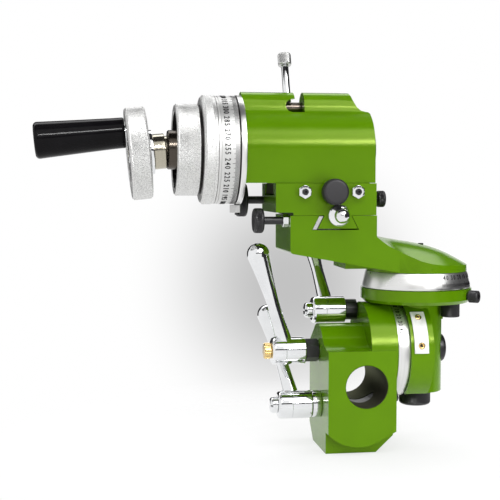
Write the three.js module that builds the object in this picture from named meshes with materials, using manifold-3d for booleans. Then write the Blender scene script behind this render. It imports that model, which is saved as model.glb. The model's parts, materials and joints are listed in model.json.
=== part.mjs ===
// Work head of an end mill grinder: a collet spindle on cross slides, a swivel and a tilting
// knuckle, clamped to a round bar. Millimetres, +Z up, spindle along X, operator on the -Y side.
// While it is modelled, zero is on the spindle axis at the left face of the head. The finished
// group is moved so that its origin is the centre of the bar bore.
import * as THREE from "three";
import { mergeVertices } from "three/addons/utils/BufferGeometryUtils.js";
import Module from "manifold-3d";

const wasm = await Module();
wasm.setup();

// Facets round large, middle and small turned pieces
const largeFacets = 32;
const bossFacets = 26;
const middleFacets = 18;
const smallFacets = 10;
const screwFacets = 12;
const hexSides = 6;
const filletSteps = 4;

// Gap kept between neighbours, and overrun of every cut
const gap = 0.3;
const overrun = 4;

// Head casting and the bores in it
const headLength = 116;
const barrelRadius = 36;
const headDrop = 29.5;
const rodHeight = 38.5;
const rodBossRadius = 13.6;
const rodBossSlope = 13.5;
const headShelfDrop = 1.6;
const headShelfLength = 4;
const headEndDrop = 3.4;
const headFillet = 9;
const headDovetailDrop = 10.5;
const headDovetailHalf = 17;
const headDovetailFlare = 6;
const headDovetailFrom = 27.2;
const headDovetailTo = 115.7;

// Spindle with its nose and rear collar
const spindleRadius = 23;
const spindleBore = 14.5;
const spindleNoseRadius = 24.5;
const spindleNoseLength = 3.5;
const spindleSocketRadius = 18;
const spindleSocketDepth = 14;
const collarRadius = 17.5;
const collarLength = 18;
const collarStickOut = 6.3;

// Rings on the spindle behind the head
const fixedRingRadius = 48.9;
const fixedRingWidth = 5.1;
const dialRadius = 48.2;
const dialWidth = 18.9;
const dialWall = 4.2;
const dialGrooveDepth = 0.6;
const dialGrooveWidth = 0.7;
const dialGrooveShare = 0.873;
const indexPlateRadius = 43.6;
const indexPlateWidth = 3.6;
const indexHoles = 24;
const indexHoleRadius = 3.3;
const flangeRingRadius = 48.6;
const flangeRingWidth = 12;
const flangeRingChamfer = 2;
const lockRingRadius = 40.8;
const lockRingWidth = 22.5;
const lockRingChamfer = 1.2;
const lockRecessRadius = 34;
const lockRecessDepth = 8;
const lockScrewPitchRadius = 28.5;
const lockScrewHeadRadius = 3.8;
const lockScrewHeadHeight = 3.4;
const lockScrewShankRadius = 2;
const lockScrewLength = 20;

// Drawbar, which hangs slack in the spindle's rear collar, with its handwheel and crank handle
const slackLean = THREE.MathUtils.degToRad(5.5);
const drawPivotInset = 8.5;
const shoulderClearance = 1.9;
const stubRadius = 13.3;
const stubLength = 17;
const drawTubeRadius = 15.7;
const drawTubeLength = 10.5;
const drawWasherRadius = 19.8;
const drawWasherWidth = 3.8;
const wheelRadius = 41;
const wheelWidth = 18;
const wheelChamfer = 1.6;
const wheelRimWall = 11;
const wheelHubRadius = 13;
const wheelRecessDepth = 4;
const drawSpigotRadius = 7.9;
const drawSpigotBore = 5;
const wheelNutRadius = 11.5;
const wheelNutWidth = 3.4;
const handleOffset = 19.3;
const handleFromWheel = 3.6;
const handleLength = 76.5;
const handleEndRadius = 16.2;
const handleRootRadius = 13.6;
const handleRounding = 3.4;
const studRadius = 4;
const studCollarRadius = 7.5;
const studInsideHandle = 40;
const studHoleShare = 0.7;

// Index plunger with its leaning knob, and the slots that it moves in
const rodRadius = 4.7;
const rodLength = 66;
const rodTipRadius = 3;
const rodTipLength = 7;
const rodBoreLength = 84;
const stemFromLeft = 43.5;
const stemRadius = 3.4;
const stemLean = THREE.MathUtils.degToRad(21.2);
const stemLength = 41.6;
const plungerKnobRadius = 6.1;
const plungerKnobHeight = 11.8;
const plungerKnobChamfer = 1;
const plungerIn = 4.5;
const plungerOut = 8.5;
const slotHalfWidth = 4.1;
const crossSlotWidth = 8.5;
const crossSlotHalf = 17;
const slotFloorDrop = 5;
const slotEndSteps = 6;
const pocketWidth = 8.6;
const pocketHeight = 12;

// Zero pointer under the fixed ring
const pointerLength = 9;
const pointerWidth = 10;
const pointerDrop = 7;
const pointerScrewRadius = 2.4;
const pointerScrewHead = 1.6;
const pointerScrewDepth = 5;

// Cross slide, which carries the head on one dovetail and rides across on another
const crossLeft = 26.3;
const crossRight = 116.5;
const slideHalf = 38;
const crossHeight = 28.2;
const crossReliefLength = 15.5;
const crossReliefHeight = 2.6;
const tailFloorRoom = 1.2;
const tailFlankRoom = 0.6;
const gibThickness = 4;
const gibScrewShares = [0.28, 0.807];
const gibScrewDrop = 7.5;
const gibScrewRadius = 2.6;
const gibNutAcross = 10.6;
const gibNutHeight = 4.4;
const gibScrewStickOut = 7;
const clampKnobShare = 0.567;
const clampKnobRadius = 11.5;
const clampKnobHeight = 11;
const clampKnobRounding = 2.8;
const clampStemRadius = 4;
const clampKnobStandOff = 2.5;
const pushHandleCollarRadius = 9.8;
const pushHandleNeckRadius = 5.2;
const pushHandleBallRadius = 6.8;
const pushHandleReach = 19.5;
const pushHandleCollarWidth = 5;
const pushHandleChamfer = 1.2;
const pushHandleBallTo = 40;
const pushHandleX = 82.5;
const stopDepthShare = 0.13;
const stopScrewRadius = 3.6;
const stopHeadRounding = 2;
const leftStopHeadRadius = 15.4;
const leftStopHeadWidth = 9.7;
const leftStopStandOff = 16.2;
const leftStopSetBack = 30;
const leftStopDrop = 15.4;
const rightStopHeadRadius = 7.6;
const rightStopHeadWidth = 7.5;
const rightStopStandOff = 12.3;
const rightStopSetBack = 8;
const rightStopDrop = 14.4;

// Slide base with its cross dovetail and the dome over the swivel
const baseSlideLeft = 39.2;
const baseSlideRight = 117.1;
const baseSlideDepth = 33.6;
const undersideSlope = THREE.MathUtils.degToRad(10);
const crossDovetailHalf = 14.8;
const crossDovetailFlare = 6.4;
const crossDovetailDrop = 12.6;
const crossDovetailCentre = 79.6;
const thumbScrewRadius = 3.5;
const thumbHeadRadius = 11;
const thumbHeadWidth = 9;
const thumbStandOff = 22.6;
const thumbForward = 28;
const thumbHeadRounding = 2.2;
const thumbDrop = 4.3;
const thumbNutAcross = 10;
const thumbNutWidth = 5.2;
const swivelX = 164.5;
const domeRadius = 46.3;
const domeRim = 6;
const domeRise = 27;
const domeShoulder = 18.7;
const domeCrownSteps = 8;
const domeRimSteps = 10;
const swivelBoltSunk = 6;
const domeScrewRadius = 2.4;
const domeScrewHeight = 0.8;
const domeScrewOffset = 4.6;
const domeScrewDepth = 6;
const seatPadLeft = 92;
const seatPadHalf = 24;
const seatPadDrop = 106.5;
const cornerRounding = 3;

// Swivel and its graduated ring
const swivelSeatDrop = 109.9;
const swivelRingTopRadius = 46.5;
const swivelRingFlare = 3.1;
const swivelRingHeight = 15;
const swivelRingBand = 2.4;
const swivelRingWall = 5;
const swivelBoltRadius = 7;
const swivelNutRadius = 14.5;
const swivelNutHeight = 13.5;
const swivelNutRounding = 2.3;
const swivelBoltShare = 0.7;

// Knuckle: disc, upright boss and tilt flange in one casting
const knuckleDiscRadius = 51;
const knuckleDiscHeight = 12.8;
const knuckleDiscChamfer = 3;
const knuckleBossRadius = 24;
const knuckleFlangeRadius = 46;
const knuckleFlangeWidth = 21;
const knuckleFoot = 38.4;
const knuckleRibHalf = 8;
const knuckleRibReach = 17;
const knuckleRibBend = 5.7;
const discScrewRadius = 8.5;
const discScrewHeight = 13;
const discScrewRight = 27;
const discScrewForward = 20;
const discScrewShankRadius = 4;
const discScrewSocket = 4.4;
const discScrewDepth = 6.4;
const lockKnobRadius = 5.6;
const lockKnobLength = 8.5;
const lockKnobStandOff = 1.5;
const lockKnobStem = 2.5;
const lockKnobReach = 12;
const lockKnobTurn = THREE.MathUtils.degToRad(-40);
const plateThickness = 0.8;
const plateWidth = 13;
const plateInset = 2.6;
const plateFrom = THREE.MathUtils.degToRad(38);
const plateTo = THREE.MathUtils.degToRad(88);
const rivetRadius = 1.7;
const rivetHeight = 0.9;
const rivetShares = [0.16, 0.84];

// Tilt axis along X, its graduated ring, bolt and pointer
const tiltDrop = 182.6;
const tiltRingInset = 0.4;
const tiltRingWidth = 10.8;
const tiltRingBore = 33;
const tiltBoltRadius = 6;
const sideScrewHeadRadius = 13;
const sideScrewHeadWidth = 6.5;
const sideScrewRadius = 5;
const sideScrewRounding = 2.2;
const tiltPointerLength = 14.7;
const tiltPointerWidth = 5;
const tiltPointerThickness = 1.7;
const tiltPointerTurn = THREE.MathUtils.degToRad(221.8);

// Base block with the bar bore
const blockLeft = 72;
const blockWidth = 62;
const blockFront = 46;
const blockBack = 36;
const blockTop = 178;
const facePlateDepth = 11;
const faceArcRadius = 39;
const faceArcFromLeft = 28;
const faceArcDrop = 263.5;
const footDrop = 271;
const footWidth = 46;
const footBack = 20;
const footChamferHeight = 15;
const rightChamferRise = 9;
const rightChamferWidth = 14;
const barX = 107;
const barDrop = 210;
const barRadius = 19;
const barBoreChamfer = 0.8;
const baseBossRadius = 24.6;
const baseBossWidth = 40;
const baseFlangeRadius = 44;
const baseFlangeWidth = 24.2;
const cotterRadius = 8.6;
const cotterLength = 52;

// Clamp levers, all alike, on pins that end in a round screw head
const leverPinRadius = 5;
const barPinDepth = 14;
const flangePinDepth = 12;
const leverHubRadius = 12.6;
const leverHubWidth = 31;
const leverHubRounding = 3;
const leverBallRadius = 10.2;
const leverNeckRadius = 5.7;
const leverRootRadius = 6.8;
const leverLength = 95;
const leverNeckShare = 0.45;
const leverBallFrom = -12;
const endScrewRadius = 7.3;
const endScrewHead = 6.5;
const endScrewFlutes = 8;
const endScrewShank = 2.4;
const endScrewFluteRadius = 1.2;
const endScrewFluteRun = 0.5;
const tiltLeverTurn = THREE.MathUtils.degToRad(8);
const tiltLeverLean = THREE.MathUtils.degToRad(18);
const tiltSpacerAcross = 18.4;
const tiltSpacerWidth = 12;
const barLeverForward = 10;
const barLeverDrop = 230.5;
const barLeverTurn = THREE.MathUtils.degToRad(-36);
const barLeverLean = THREE.MathUtils.degToRad(9);
const barSpacerRadius = 12;
const barSpacerWidth = 8;
const flangeLeverBack = 18;
const flangeLeverRise = 35;
const flangeLeverTurn = THREE.MathUtils.degToRad(-38);
const flangeLeverLean = THREE.MathUtils.degToRad(5);
const flangeStudRadius = 9.8;
const flangeStudWidth = 11;

// Directions that an outline's own two axes and its depth take, for a piece seen along X, Y or Z
const axisX = new THREE.Vector3(1, 0, 0);
const axisY = new THREE.Vector3(0, 1, 0);
const axisZ = new THREE.Vector3(0, 0, 1);
const outlineSpace = {
  x: new THREE.Matrix4().makeBasis(axisY, axisZ, axisX),
  y: new THREE.Matrix4().makeBasis(axisX, axisZ, axisY.clone().negate()),
  z: new THREE.Matrix4(),
};
const turnedSpace = {
  x: new THREE.Matrix4().makeBasis(axisY, axisX, axisZ.clone().negate()),
  y: new THREE.Matrix4(),
  z: new THREE.Matrix4().makeBasis(axisX, axisZ, axisY.clone().negate()),
};

// A closed geometry as a solid that can be joined and cut
function solidOf(geometry) {
  geometry.deleteAttribute("normal");
  geometry.deleteAttribute("uv");
  const merged = mergeVertices(geometry);
  const index = merged.index.array;
  const kept = [];
  for (let i = 0; i < index.length; i += 3) {
    const [a, b, c] = [index[i], index[i + 1], index[i + 2]];
    if (a !== b && b !== c && c !== a) kept.push(a, b, c);
  }
  const vertProperties = merged.attributes.position.array;
  const mesh = new wasm.Mesh({ numProp: 3, vertProperties, triVerts: Uint32Array.from(kept) });
  return new wasm.Manifold(mesh);
}

// A solid as a geometry
function geometryOf(solid) {
  const mesh = solid.getMesh();
  const geometry = new THREE.BufferGeometry();
  geometry.setAttribute("position", new THREE.BufferAttribute(mesh.vertProperties, 3));
  geometry.setIndex(new THREE.BufferAttribute(mesh.triVerts, 1));
  geometry.computeVertexNormals();
  return geometry;
}

// Joins the first solid with the rest, and cuts the rest from the first
const joined = (first, ...rest) => rest.reduce((sum, solid) => sum.add(solid), first);
const cut = (first, ...rest) => rest.reduce((left, solid) => left.subtract(solid), first);

// An outline pushed along X, Y or Z between two places. Seen along X it holds [Y, Z] points,
// along Y [X, Z] points and along Z [X, Y] points.
function prism(outline, axis, from, to) {
  const shape = new THREE.Shape(outline.map(([u, v]) => new THREE.Vector2(u, v)));
  const depth = Math.abs(to - from);
  const geometry = new THREE.ExtrudeGeometry(shape, { depth, bevelEnabled: false });
  geometry.translate(0, 0, axis === "y" ? -Math.max(from, to) : Math.min(from, to));
  geometry.applyMatrix4(outlineSpace[axis]);
  return solidOf(geometry);
}

// A profile of [radius, place along the axis] points, turned about an axis through the centre,
// which is given in the two other coordinates
function turned(profile, axis, centre = [0, 0], facets = middleFacets) {
  const area = profile.reduce((sum, [r, w], i) => {
    const [nextR, nextW] = profile[(i + 1) % profile.length];
    return sum + r * nextW - nextR * w;
  }, 0);
  const points = profile.map(([r, w]) => new THREE.Vector2(r, w));
  if (area < 0) points.reverse();
  const geometry = new THREE.LatheGeometry(points, facets);
  geometry.applyMatrix4(turnedSpace[axis]);
  const [u, v] = centre;
  if (axis === "x") geometry.translate(0, u, v);
  if (axis === "y") geometry.translate(u, 0, v);
  if (axis === "z") geometry.translate(u, v, 0);
  return solidOf(geometry);
}

// A plain rod or bore, and a tube whose profile closes on itself
function rod(radius, axis, from, to, centre, facets) {
  return turned([[0, from], [radius, from], [radius, to], [0, to]], axis, centre, facets);
}

function tube(outer, inner, axis, from, to, centre, facets) {
  const profile = [[inner, from], [outer, from], [outer, to], [inner, to], [inner, from]];
  return turned(profile, axis, centre, facets);
}

// A box between two corners
function box([x0, y0, z0], [x1, y1, z1]) {
  const geometry = new THREE.BoxGeometry(Math.abs(x1 - x0), Math.abs(y1 - y0), Math.abs(z1 - z0));
  geometry.translate((x0 + x1) / 2, (y0 + y1) / 2, (z0 + z1) / 2);
  return solidOf(geometry);
}

// Points on an arc, and on a smooth bend from one point to another past a control point
function arc([u, v], radius, fromDegrees, toDegrees, steps = filletSteps) {
  const points = [];
  for (let i = 0; i <= steps; i += 1) {
    const turn = THREE.MathUtils.degToRad(fromDegrees + ((toDegrees - fromDegrees) * i) / steps);
    points.push([u + radius * Math.cos(turn), v + radius * Math.sin(turn)]);
  }
  return points;
}

function bend(start, control, end, steps = filletSteps) {
  const [a, b, c] = [start, control, end].map(([u, v]) => new THREE.Vector2(u, v));
  return new THREE.QuadraticBezierCurve(a, b, c).getPoints(steps).map((p) => [p.x, p.y]);
}

// A hexagon nut between two places along an axis, with its first corner at a turn in degrees
function hexNut(cornerRadius, bore, axis, from, to, centre, turn = 0) {
  const lastTurn = turn + 360 - 360 / hexSides;
  const outline = arc(centre, cornerRadius, turn, lastTurn, hexSides - 1);
  const hole = rod(bore, axis, from - overrun, to + overrun, centre, middleFacets);
  return cut(prism(outline, axis, from, to), hole);
}

const cornerOf = (acrossFlats) => acrossFlats / Math.sqrt(3);

// A solid skinned over sections that have the same number of points, each seen as a convex ring
function lofted(sections) {
  const count = sections[0].length;
  const positions = sections.flat().flatMap((point) => point);
  const index = [];
  for (let s = 0; s + 1 < sections.length; s += 1) {
    for (let i = 0; i < count; i += 1) {
      const a = s * count + i;
      const b = s * count + ((i + 1) % count);
      index.push(a, b, b + count, a, b + count, a + count);
    }
  }
  const last = (sections.length - 1) * count;
  for (let i = 1; i + 1 < count; i += 1) {
    index.push(0, i + 1, i);
    index.push(last, last + i, last + i + 1);
  }
  const geometry = new THREE.BufferGeometry();
  geometry.setAttribute("position", new THREE.Float32BufferAttribute(positions, 3));
  geometry.setIndex(index);
  return solidOf(geometry);
}

// Finishes seen on the machine
const finish = (color, roughness, metalness) => ({ color, roughness, metalness });
const greenPaint = finish(0x5fa80c, 0.32, 0);
const machinedAlloy = finish(0xc4c6c8, 0.34, 0.9);
const brightSteel = finish(0xd9d9d6, 0.14, 1);
const greySteel = finish(0x8b8986, 0.36, 0.9);
const blackPlastic = finish(0x141414, 0.36, 0);
const blackOxide = finish(0x1d1c1c, 0.5, 0.4);
const brass = finish(0xc79a3c, 0.3, 1);
const whitePlate = finish(0xe8e8e4, 0.45, 0.1);

// A named sub-part
function part(name, solid, look) {
  const mesh = new THREE.Mesh(geometryOf(solid), new THREE.MeshStandardMaterial(look));
  mesh.name = name;
  return mesh;
}

// Places worked out from the sizes above
const tiltZ = -tiltDrop;
const tiltAxis = [0, tiltZ];
const barZ = -barDrop;
const blockRight = blockLeft + blockWidth;
const baseBossRight = blockLeft + baseBossWidth;
const baseFlangeRight = baseBossRight + baseFlangeWidth;
const tiltRingRight = baseFlangeRight + gap + tiltRingWidth;
const knuckleLeft = tiltRingRight + gap;
const tiltBoltEnd = swivelX - swivelBoltRadius - gap - tiltBoltRadius / 3;
const barY = (blockBack - blockFront) / 2;
const barLeverZ = -barLeverDrop;
const flangeLeverZ = tiltZ + flangeLeverRise;
const tiltRingRadius = baseFlangeRadius - tiltRingInset;

// Base block: the face plate with its round lower edge, the body and foot behind it, and the boss
// and flange round the tilt bolt, with a cove from the block's front edge up to the boss
function baseFacePlate() {
  const centre = [blockLeft + faceArcFromLeft, faceArcRadius - faceArcDrop];
  const leftTurn = 180 + THREE.MathUtils.radToDeg(Math.acos(faceArcFromLeft / faceArcRadius));
  const rightReach = blockWidth - rightChamferWidth - faceArcFromLeft;
  const rightTurn = 360 - THREE.MathUtils.radToDeg(Math.acos(rightReach / faceArcRadius));
  const lowerEdge = arc(centre, faceArcRadius, leftTurn, rightTurn, largeFacets / 3);
  const chamferTop = lowerEdge[lowerEdge.length - 1][1] + rightChamferRise;
  const outline = [
    [blockLeft, -blockTop],
    ...lowerEdge,
    [blockRight, chamferTop],
    [blockRight, -blockTop],
  ];
  return prism(outline, "y", -blockFront, facePlateDepth - blockFront);
}

function baseBody() {
  const front = facePlateDepth - blockFront;
  const side = [
    [front, -footDrop],
    [footBack, -footDrop],
    [blockBack, footChamferHeight - footDrop],
    [blockBack, -blockTop],
    [front, -blockTop],
  ];
  const face = [
    [blockLeft, -footDrop],
    [blockLeft + footWidth, -footDrop],
    [blockRight, footChamferHeight - footDrop],
    [blockRight, -blockTop],
    [blockLeft, -blockTop],
  ];
  const sideways = prism(side, "x", blockLeft, blockRight);
  return sideways.intersect(prism(face, "y", -blockFront, blockBack));
}

function baseBoss() {
  const shoulder = baseBossRadius * Math.SQRT1_2;
  const saddle = [
    ...bend([-blockFront, -blockTop], [-baseBossRadius, -blockTop], [-shoulder, tiltZ + shoulder]),
    [shoulder, tiltZ + shoulder],
    [blockBack, -blockTop],
    [blockBack, tiltZ],
    [-blockFront, tiltZ],
  ];
  return joined(
    rod(baseBossRadius, "x", blockLeft, baseBossRight, tiltAxis, largeFacets),
    prism(saddle, "x", blockLeft, baseBossRight),
    rod(baseFlangeRadius, "x", baseBossRight, baseFlangeRight, tiltAxis, largeFacets),
  );
}

function barBore() {
  const flare = barRadius + barBoreChamfer;
  const centre = [barX, barZ];
  const mouths = [-blockFront, blockBack].map((y) => {
    const outer = y + Math.sign(y) * overrun;
    const inner = y - Math.sign(y) * barBoreChamfer;
    const mouth = [[0, outer], [flare, outer], [flare, y], [barRadius, inner], [0, inner]];
    return turned(mouth, "y", centre, largeFacets);
  });
  const rear = Math.max(blockBack, baseFlangeRadius) + overrun;
  const through = rod(barRadius, "y", -blockFront - overrun, rear, centre, largeFacets);
  return joined(through, ...mouths);
}

function baseCasting() {
  const boltHole = rod(tiltBoltRadius + gap, "x", blockLeft - overrun, baseFlangeRight + overrun, tiltAxis);
  const cotterHole = rod(
    cotterRadius + gap,
    "x",
    blockLeft - overrun,
    blockLeft + gap + cotterLength,
    [-barLeverForward, barLeverZ],
  );
  const studHole = rod(
    leverPinRadius + gap,
    "x",
    baseBossRight - overrun,
    baseBossRight + flangePinDepth + gap,
    [flangeLeverBack, flangeLeverZ],
    smallFacets,
  );
  const solid = joined(baseFacePlate(), baseBody(), baseBoss());
  return cut(solid, barBore(), boltHole, cotterHole, studHole);
}

// Sleeve with a saddle that the bar lever pulls against the bar
function barCotter() {
  const from = blockLeft + gap;
  const axis = [-barLeverForward, barLeverZ];
  const body = rod(cotterRadius, "x", from, from + cotterLength - gap, axis);
  const bar = rod(barRadius + gap, "y", -blockFront, blockBack, [barX, barZ], largeFacets);
  const pinHole = rod(leverPinRadius + gap, "x", from - overrun, from + barPinDepth, axis, smallFacets);
  return cut(body, bar, pinHole);
}

// Clamp lever about its own hub axis: hub, and an arm that swells from its neck to a round end
function clampLever(lean) {
  const half = leverHubWidth / 2;
  const hubProfile = [
    [leverPinRadius + gap, -half],
    [leverHubRadius - leverHubRounding, -half],
    ...bend(
      [leverHubRadius - leverHubRounding, -half],
      [leverHubRadius, -half],
      [leverHubRadius, leverHubRounding - half],
    ).slice(1),
    [leverHubRadius, half - leverHubRounding / 3],
    [leverHubRadius - leverHubRounding / 3, half],
    [leverPinRadius + gap, half],
  ];
  hubProfile.push(hubProfile[0]);
  const hub = turned(hubProfile, "x", [0, 0], middleFacets);
  const armProfile = [
    [0, 0],
    [leverRootRadius, 0],
    [leverRootRadius, leverHubRadius],
    [leverNeckRadius, leverLength * leverNeckShare],
    ...arc([0, leverLength], leverBallRadius, leverBallFrom, 90, filletSteps + 2),
  ];
  armProfile[armProfile.length - 1][0] = 0;
  const arm = turned(armProfile, "z", [0, 0], middleFacets - 4);
  const leaning = arm.rotate([0, -THREE.MathUtils.radToDeg(lean), 0]);
  const pinBore = rod(leverPinRadius + gap, "x", -leverHubWidth, leverHubWidth, [0, 0], middleFacets);
  return joined(hub, cut(leaning, pinBore));
}

// Pin through a lever's hub, with a round slotted head outside the hub
function leverPin(hubLeft, right, centre) {
  const headLeft = hubLeft - gap - endScrewHead;
  const profile = [
    [0, headLeft],
    [endScrewRadius - endScrewHead / 2, headLeft],
    [endScrewRadius, headLeft + endScrewHead / 2],
    [endScrewRadius, hubLeft - gap],
    [leverPinRadius, hubLeft - gap],
    [leverPinRadius, right],
    [0, right],
  ];
  const slotDepth = endScrewHead / 3;
  const slotHalf = endScrewHead / 8;
  const [y, z] = centre;
  const slot = box(
    [headLeft - overrun, y - endScrewRadius, z - slotHalf],
    [headLeft + slotDepth, y + endScrewRadius, z + slotHalf],
  );
  return cut(turned(profile, "x", centre, middleFacets - 4), slot);
}

// A lever in its own group on its hub axis, turned about it
function leverAt(name, left, centre, turn, lean) {
  const group = new THREE.Group();
  group.add(part(name, clampLever(lean), brightSteel));
  group.position.set(left + leverHubWidth / 2, ...centre);
  group.rotation.x = turn;
  return group;
}

function tiltBolt() {
  const spacerRight = blockLeft - gap;
  const stepX = spacerRight - tiltSpacerWidth;
  const leftEnd = stepX - gap - leverHubWidth;
  const profile = [
    [0, leftEnd],
    [leverPinRadius, leftEnd],
    [leverPinRadius, stepX],
    [tiltBoltRadius, stepX],
    [tiltBoltRadius, tiltBoltEnd],
    [0, tiltBoltEnd],
  ];
  const holeEnd = leftEnd + endScrewHead;
  const screwHole = rod(endScrewShank + gap, "x", leftEnd - overrun, holeEnd, tiltAxis, smallFacets);
  return cut(turned(profile, "x", tiltAxis, middleFacets), screwHole);
}

// Fluted brass screw in the end of the tilt bolt
function tiltEndScrew(hubLeft) {
  const headRight = hubLeft - gap;
  const headLeft = headRight - endScrewHead;
  const tip = hubLeft + endScrewHead - gap;
  const head = rod(endScrewRadius, "x", headLeft, headRight, tiltAxis, smallFacets);
  const shank = rod(endScrewShank, "x", headRight - endScrewHead / 2, tip, tiltAxis, smallFacets);
  const fluteEnd = headRight + endScrewFluteRun;
  const flutes = [];
  for (let i = 0; i < endScrewFlutes; i += 1) {
    const turn = (i * 2 * Math.PI) / endScrewFlutes;
    const centre = [endScrewRadius * Math.cos(turn), tiltZ + endScrewRadius * Math.sin(turn)];
    flutes.push(rod(endScrewFluteRadius, "x", headLeft - overrun, fluteEnd, centre, filletSteps + 1));
  }
  return joined(cut(head, ...flutes), shank);
}

// Black hexagon spacer between the tilt lever and the base
function tiltSpacer() {
  const right = blockLeft - gap;
  const corner = cornerOf(tiltSpacerAcross);
  return hexNut(corner, tiltBoltRadius + gap, "x", right - tiltSpacerWidth, right, tiltAxis);
}

// Pointer for the tilt ring, a pointed plate on the block's right face
function tiltPointer() {
  const half = tiltPointerWidth / 2;
  const tip = baseFlangeRadius + gap;
  const outer = tip + tiltPointerLength;
  const outline = [[outer, -half], [outer, half], [tip + half, half], [tip, 0], [tip + half, -half]];
  const [c, s] = [Math.cos(tiltPointerTurn), Math.sin(tiltPointerTurn)];
  const placed = outline.map(([u, v]) => [u * c - v * s, tiltZ + u * s + v * c]);
  return prism(placed, "x", blockRight + gap, blockRight + gap + tiltPointerThickness);
}

function baseGroup() {
  const group = new THREE.Group();
  const tiltHubLeft = blockLeft - gap - tiltSpacerWidth - gap - leverHubWidth;
  const barHubLeft = blockLeft - gap - barSpacerWidth - gap - leverHubWidth;
  const flangeHubLeft = baseBossRight - gap - flangeStudWidth - gap - leverHubWidth;
  const barAxis = [-barLeverForward, barLeverZ];
  const flangeAxis = [flangeLeverBack, flangeLeverZ];
  const barPin = leverPin(barHubLeft, blockLeft + barPinDepth, barAxis);
  const flangePin = leverPin(flangeHubLeft, baseBossRight + flangePinDepth, flangeAxis);
  const washerAt = (radius, right, width, axis) =>
    tube(radius, leverPinRadius + gap, "x", right - gap - width, right - gap, axis, middleFacets);
  group.add(
    part("base_casting", baseCasting(), greenPaint),
    part("tilt_pointer", tiltPointer(), blackOxide),
    part("bar_cotter", barCotter(), greySteel),
    leverAt("bar_lever", barHubLeft, barAxis, barLeverTurn, barLeverLean),
    part("bar_lever_pin", barPin, brightSteel),
    part("bar_lever_spacer", washerAt(barSpacerRadius, blockLeft, barSpacerWidth, barAxis), brightSteel),
    leverAt("tilt_lever", tiltHubLeft, tiltAxis, tiltLeverTurn, tiltLeverLean),
    part("tilt_end_screw", tiltEndScrew(tiltHubLeft), brass),
    part("tilt_spacer", tiltSpacer(), blackOxide),
    leverAt("flange_lever", flangeHubLeft, flangeAxis, flangeLeverTurn, flangeLeverLean),
    part("flange_lever_pin", flangePin, brightSteel),
    part(
      "flange_lever_collar",
      washerAt(flangeStudRadius, baseBossRight, flangeStudWidth, flangeAxis),
      blackOxide,
    ),
  );
  return group;
}

// Heights of the swivel: seat under the dome, graduated ring, knuckle disc and its foot
const seatZ = -swivelSeatDrop;
const ringTopZ = seatZ - gap;
const ringBottomZ = ringTopZ - swivelRingHeight;
const swivelRingRadius = swivelRingTopRadius + swivelRingFlare;
const discTopZ = ringBottomZ - gap;
const discBottomZ = discTopZ - knuckleDiscHeight;
const knuckleFootZ = tiltZ - knuckleFoot;
const knuckleRight = swivelX + Math.sqrt(knuckleBossRadius ** 2 - (sideScrewHeadRadius + gap) ** 2);
const lockKnobZ = (discTopZ + discBottomZ) / 2;
const discScrewTip = discBottomZ + discScrewDepth;

// Knuckle: disc with the spigot that carries the swivel ring, upright boss, tilt flange cut flat
// at its foot with the spigot that carries the tilt ring, and a rib under the disc
function knuckleCasting() {
  const centre = [swivelX, 0];
  const spigot = swivelRingTopRadius - swivelRingWall - gap;
  const disc = turned(
    [
      [0, ringTopZ],
      [spigot, ringTopZ],
      [spigot, discTopZ],
      [knuckleDiscRadius, discTopZ],
      [knuckleDiscRadius, discBottomZ + knuckleDiscChamfer],
      [knuckleDiscRadius - knuckleDiscChamfer, discBottomZ],
      [0, discBottomZ],
    ],
    "z",
    centre,
    largeFacets,
  );
  const boss = rod(knuckleBossRadius, "z", knuckleFootZ, discTopZ - gap, centre, bossFacets);
  const flangeRight = knuckleLeft + knuckleFlangeWidth;
  const flange = rod(knuckleFlangeRadius, "x", knuckleLeft, flangeRight, tiltAxis, largeFacets);
  const below = box(
    [knuckleLeft - overrun, -knuckleFlangeRadius, knuckleFootZ - knuckleFlangeRadius],
    [swivelX + knuckleBossRadius, knuckleFlangeRadius, knuckleFootZ],
  );
  const spigotLeft = baseFlangeRight + gap;
  const tiltSpigot = rod(tiltRingBore - gap, "x", spigotLeft, knuckleLeft + gap, tiltAxis, bossFacets);
  const ribRight = swivelX + knuckleBossRadius + knuckleRibReach;
  const rib = prism(
    [
      [swivelX, discBottomZ + gap],
      [ribRight, discBottomZ + gap],
      ...bend(
        [ribRight, discBottomZ],
        [swivelX + knuckleBossRadius, discBottomZ - knuckleRibBend],
        [swivelX + knuckleBossRadius - gap, discBottomZ - knuckleRibReach],
      ),
      [swivelX, discBottomZ - knuckleRibReach],
    ],
    "y",
    -knuckleRibHalf,
    knuckleRibHalf,
  );
  const beside = box(
    [swivelX - knuckleBossRadius - overrun, -knuckleBossRadius, knuckleFootZ - overrun],
    [knuckleLeft, knuckleBossRadius, discBottomZ],
  );
  const solid = joined(disc, cut(boss, beside), cut(flange, below), tiltSpigot, rib);
  const swivelBore = rod(swivelBoltRadius + gap, "z", knuckleFootZ - overrun, ringTopZ + overrun, centre);
  const tiltHole = rod(tiltBoltRadius + gap, "x", baseFlangeRight - overrun, tiltBoltEnd + gap, tiltAxis);
  const [boltSide, outside] = [swivelX + swivelBoltRadius, swivelX + knuckleBossRadius + overrun];
  const sideHole = rod(sideScrewRadius + gap, "x", boltSide, outside, tiltAxis, smallFacets);
  const sideFace = rod(sideScrewHeadRadius + gap, "x", knuckleRight - gap, outside, tiltAxis);
  const discScrewHole = rod(
    discScrewShankRadius + gap,
    "z",
    discBottomZ - overrun,
    discScrewTip + gap,
    [swivelX + discScrewRight, -discScrewForward],
    smallFacets,
  );
  const knobHole = rod(
    lockKnobStem + gap,
    "x",
    knuckleDiscRadius - lockKnobReach - gap,
    knuckleDiscRadius + overrun,
    [0, 0],
    smallFacets,
  );
  return cut(solid, swivelBore, tiltHole, sideHole, sideFace, discScrewHole, radially(knobHole));
}

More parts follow.
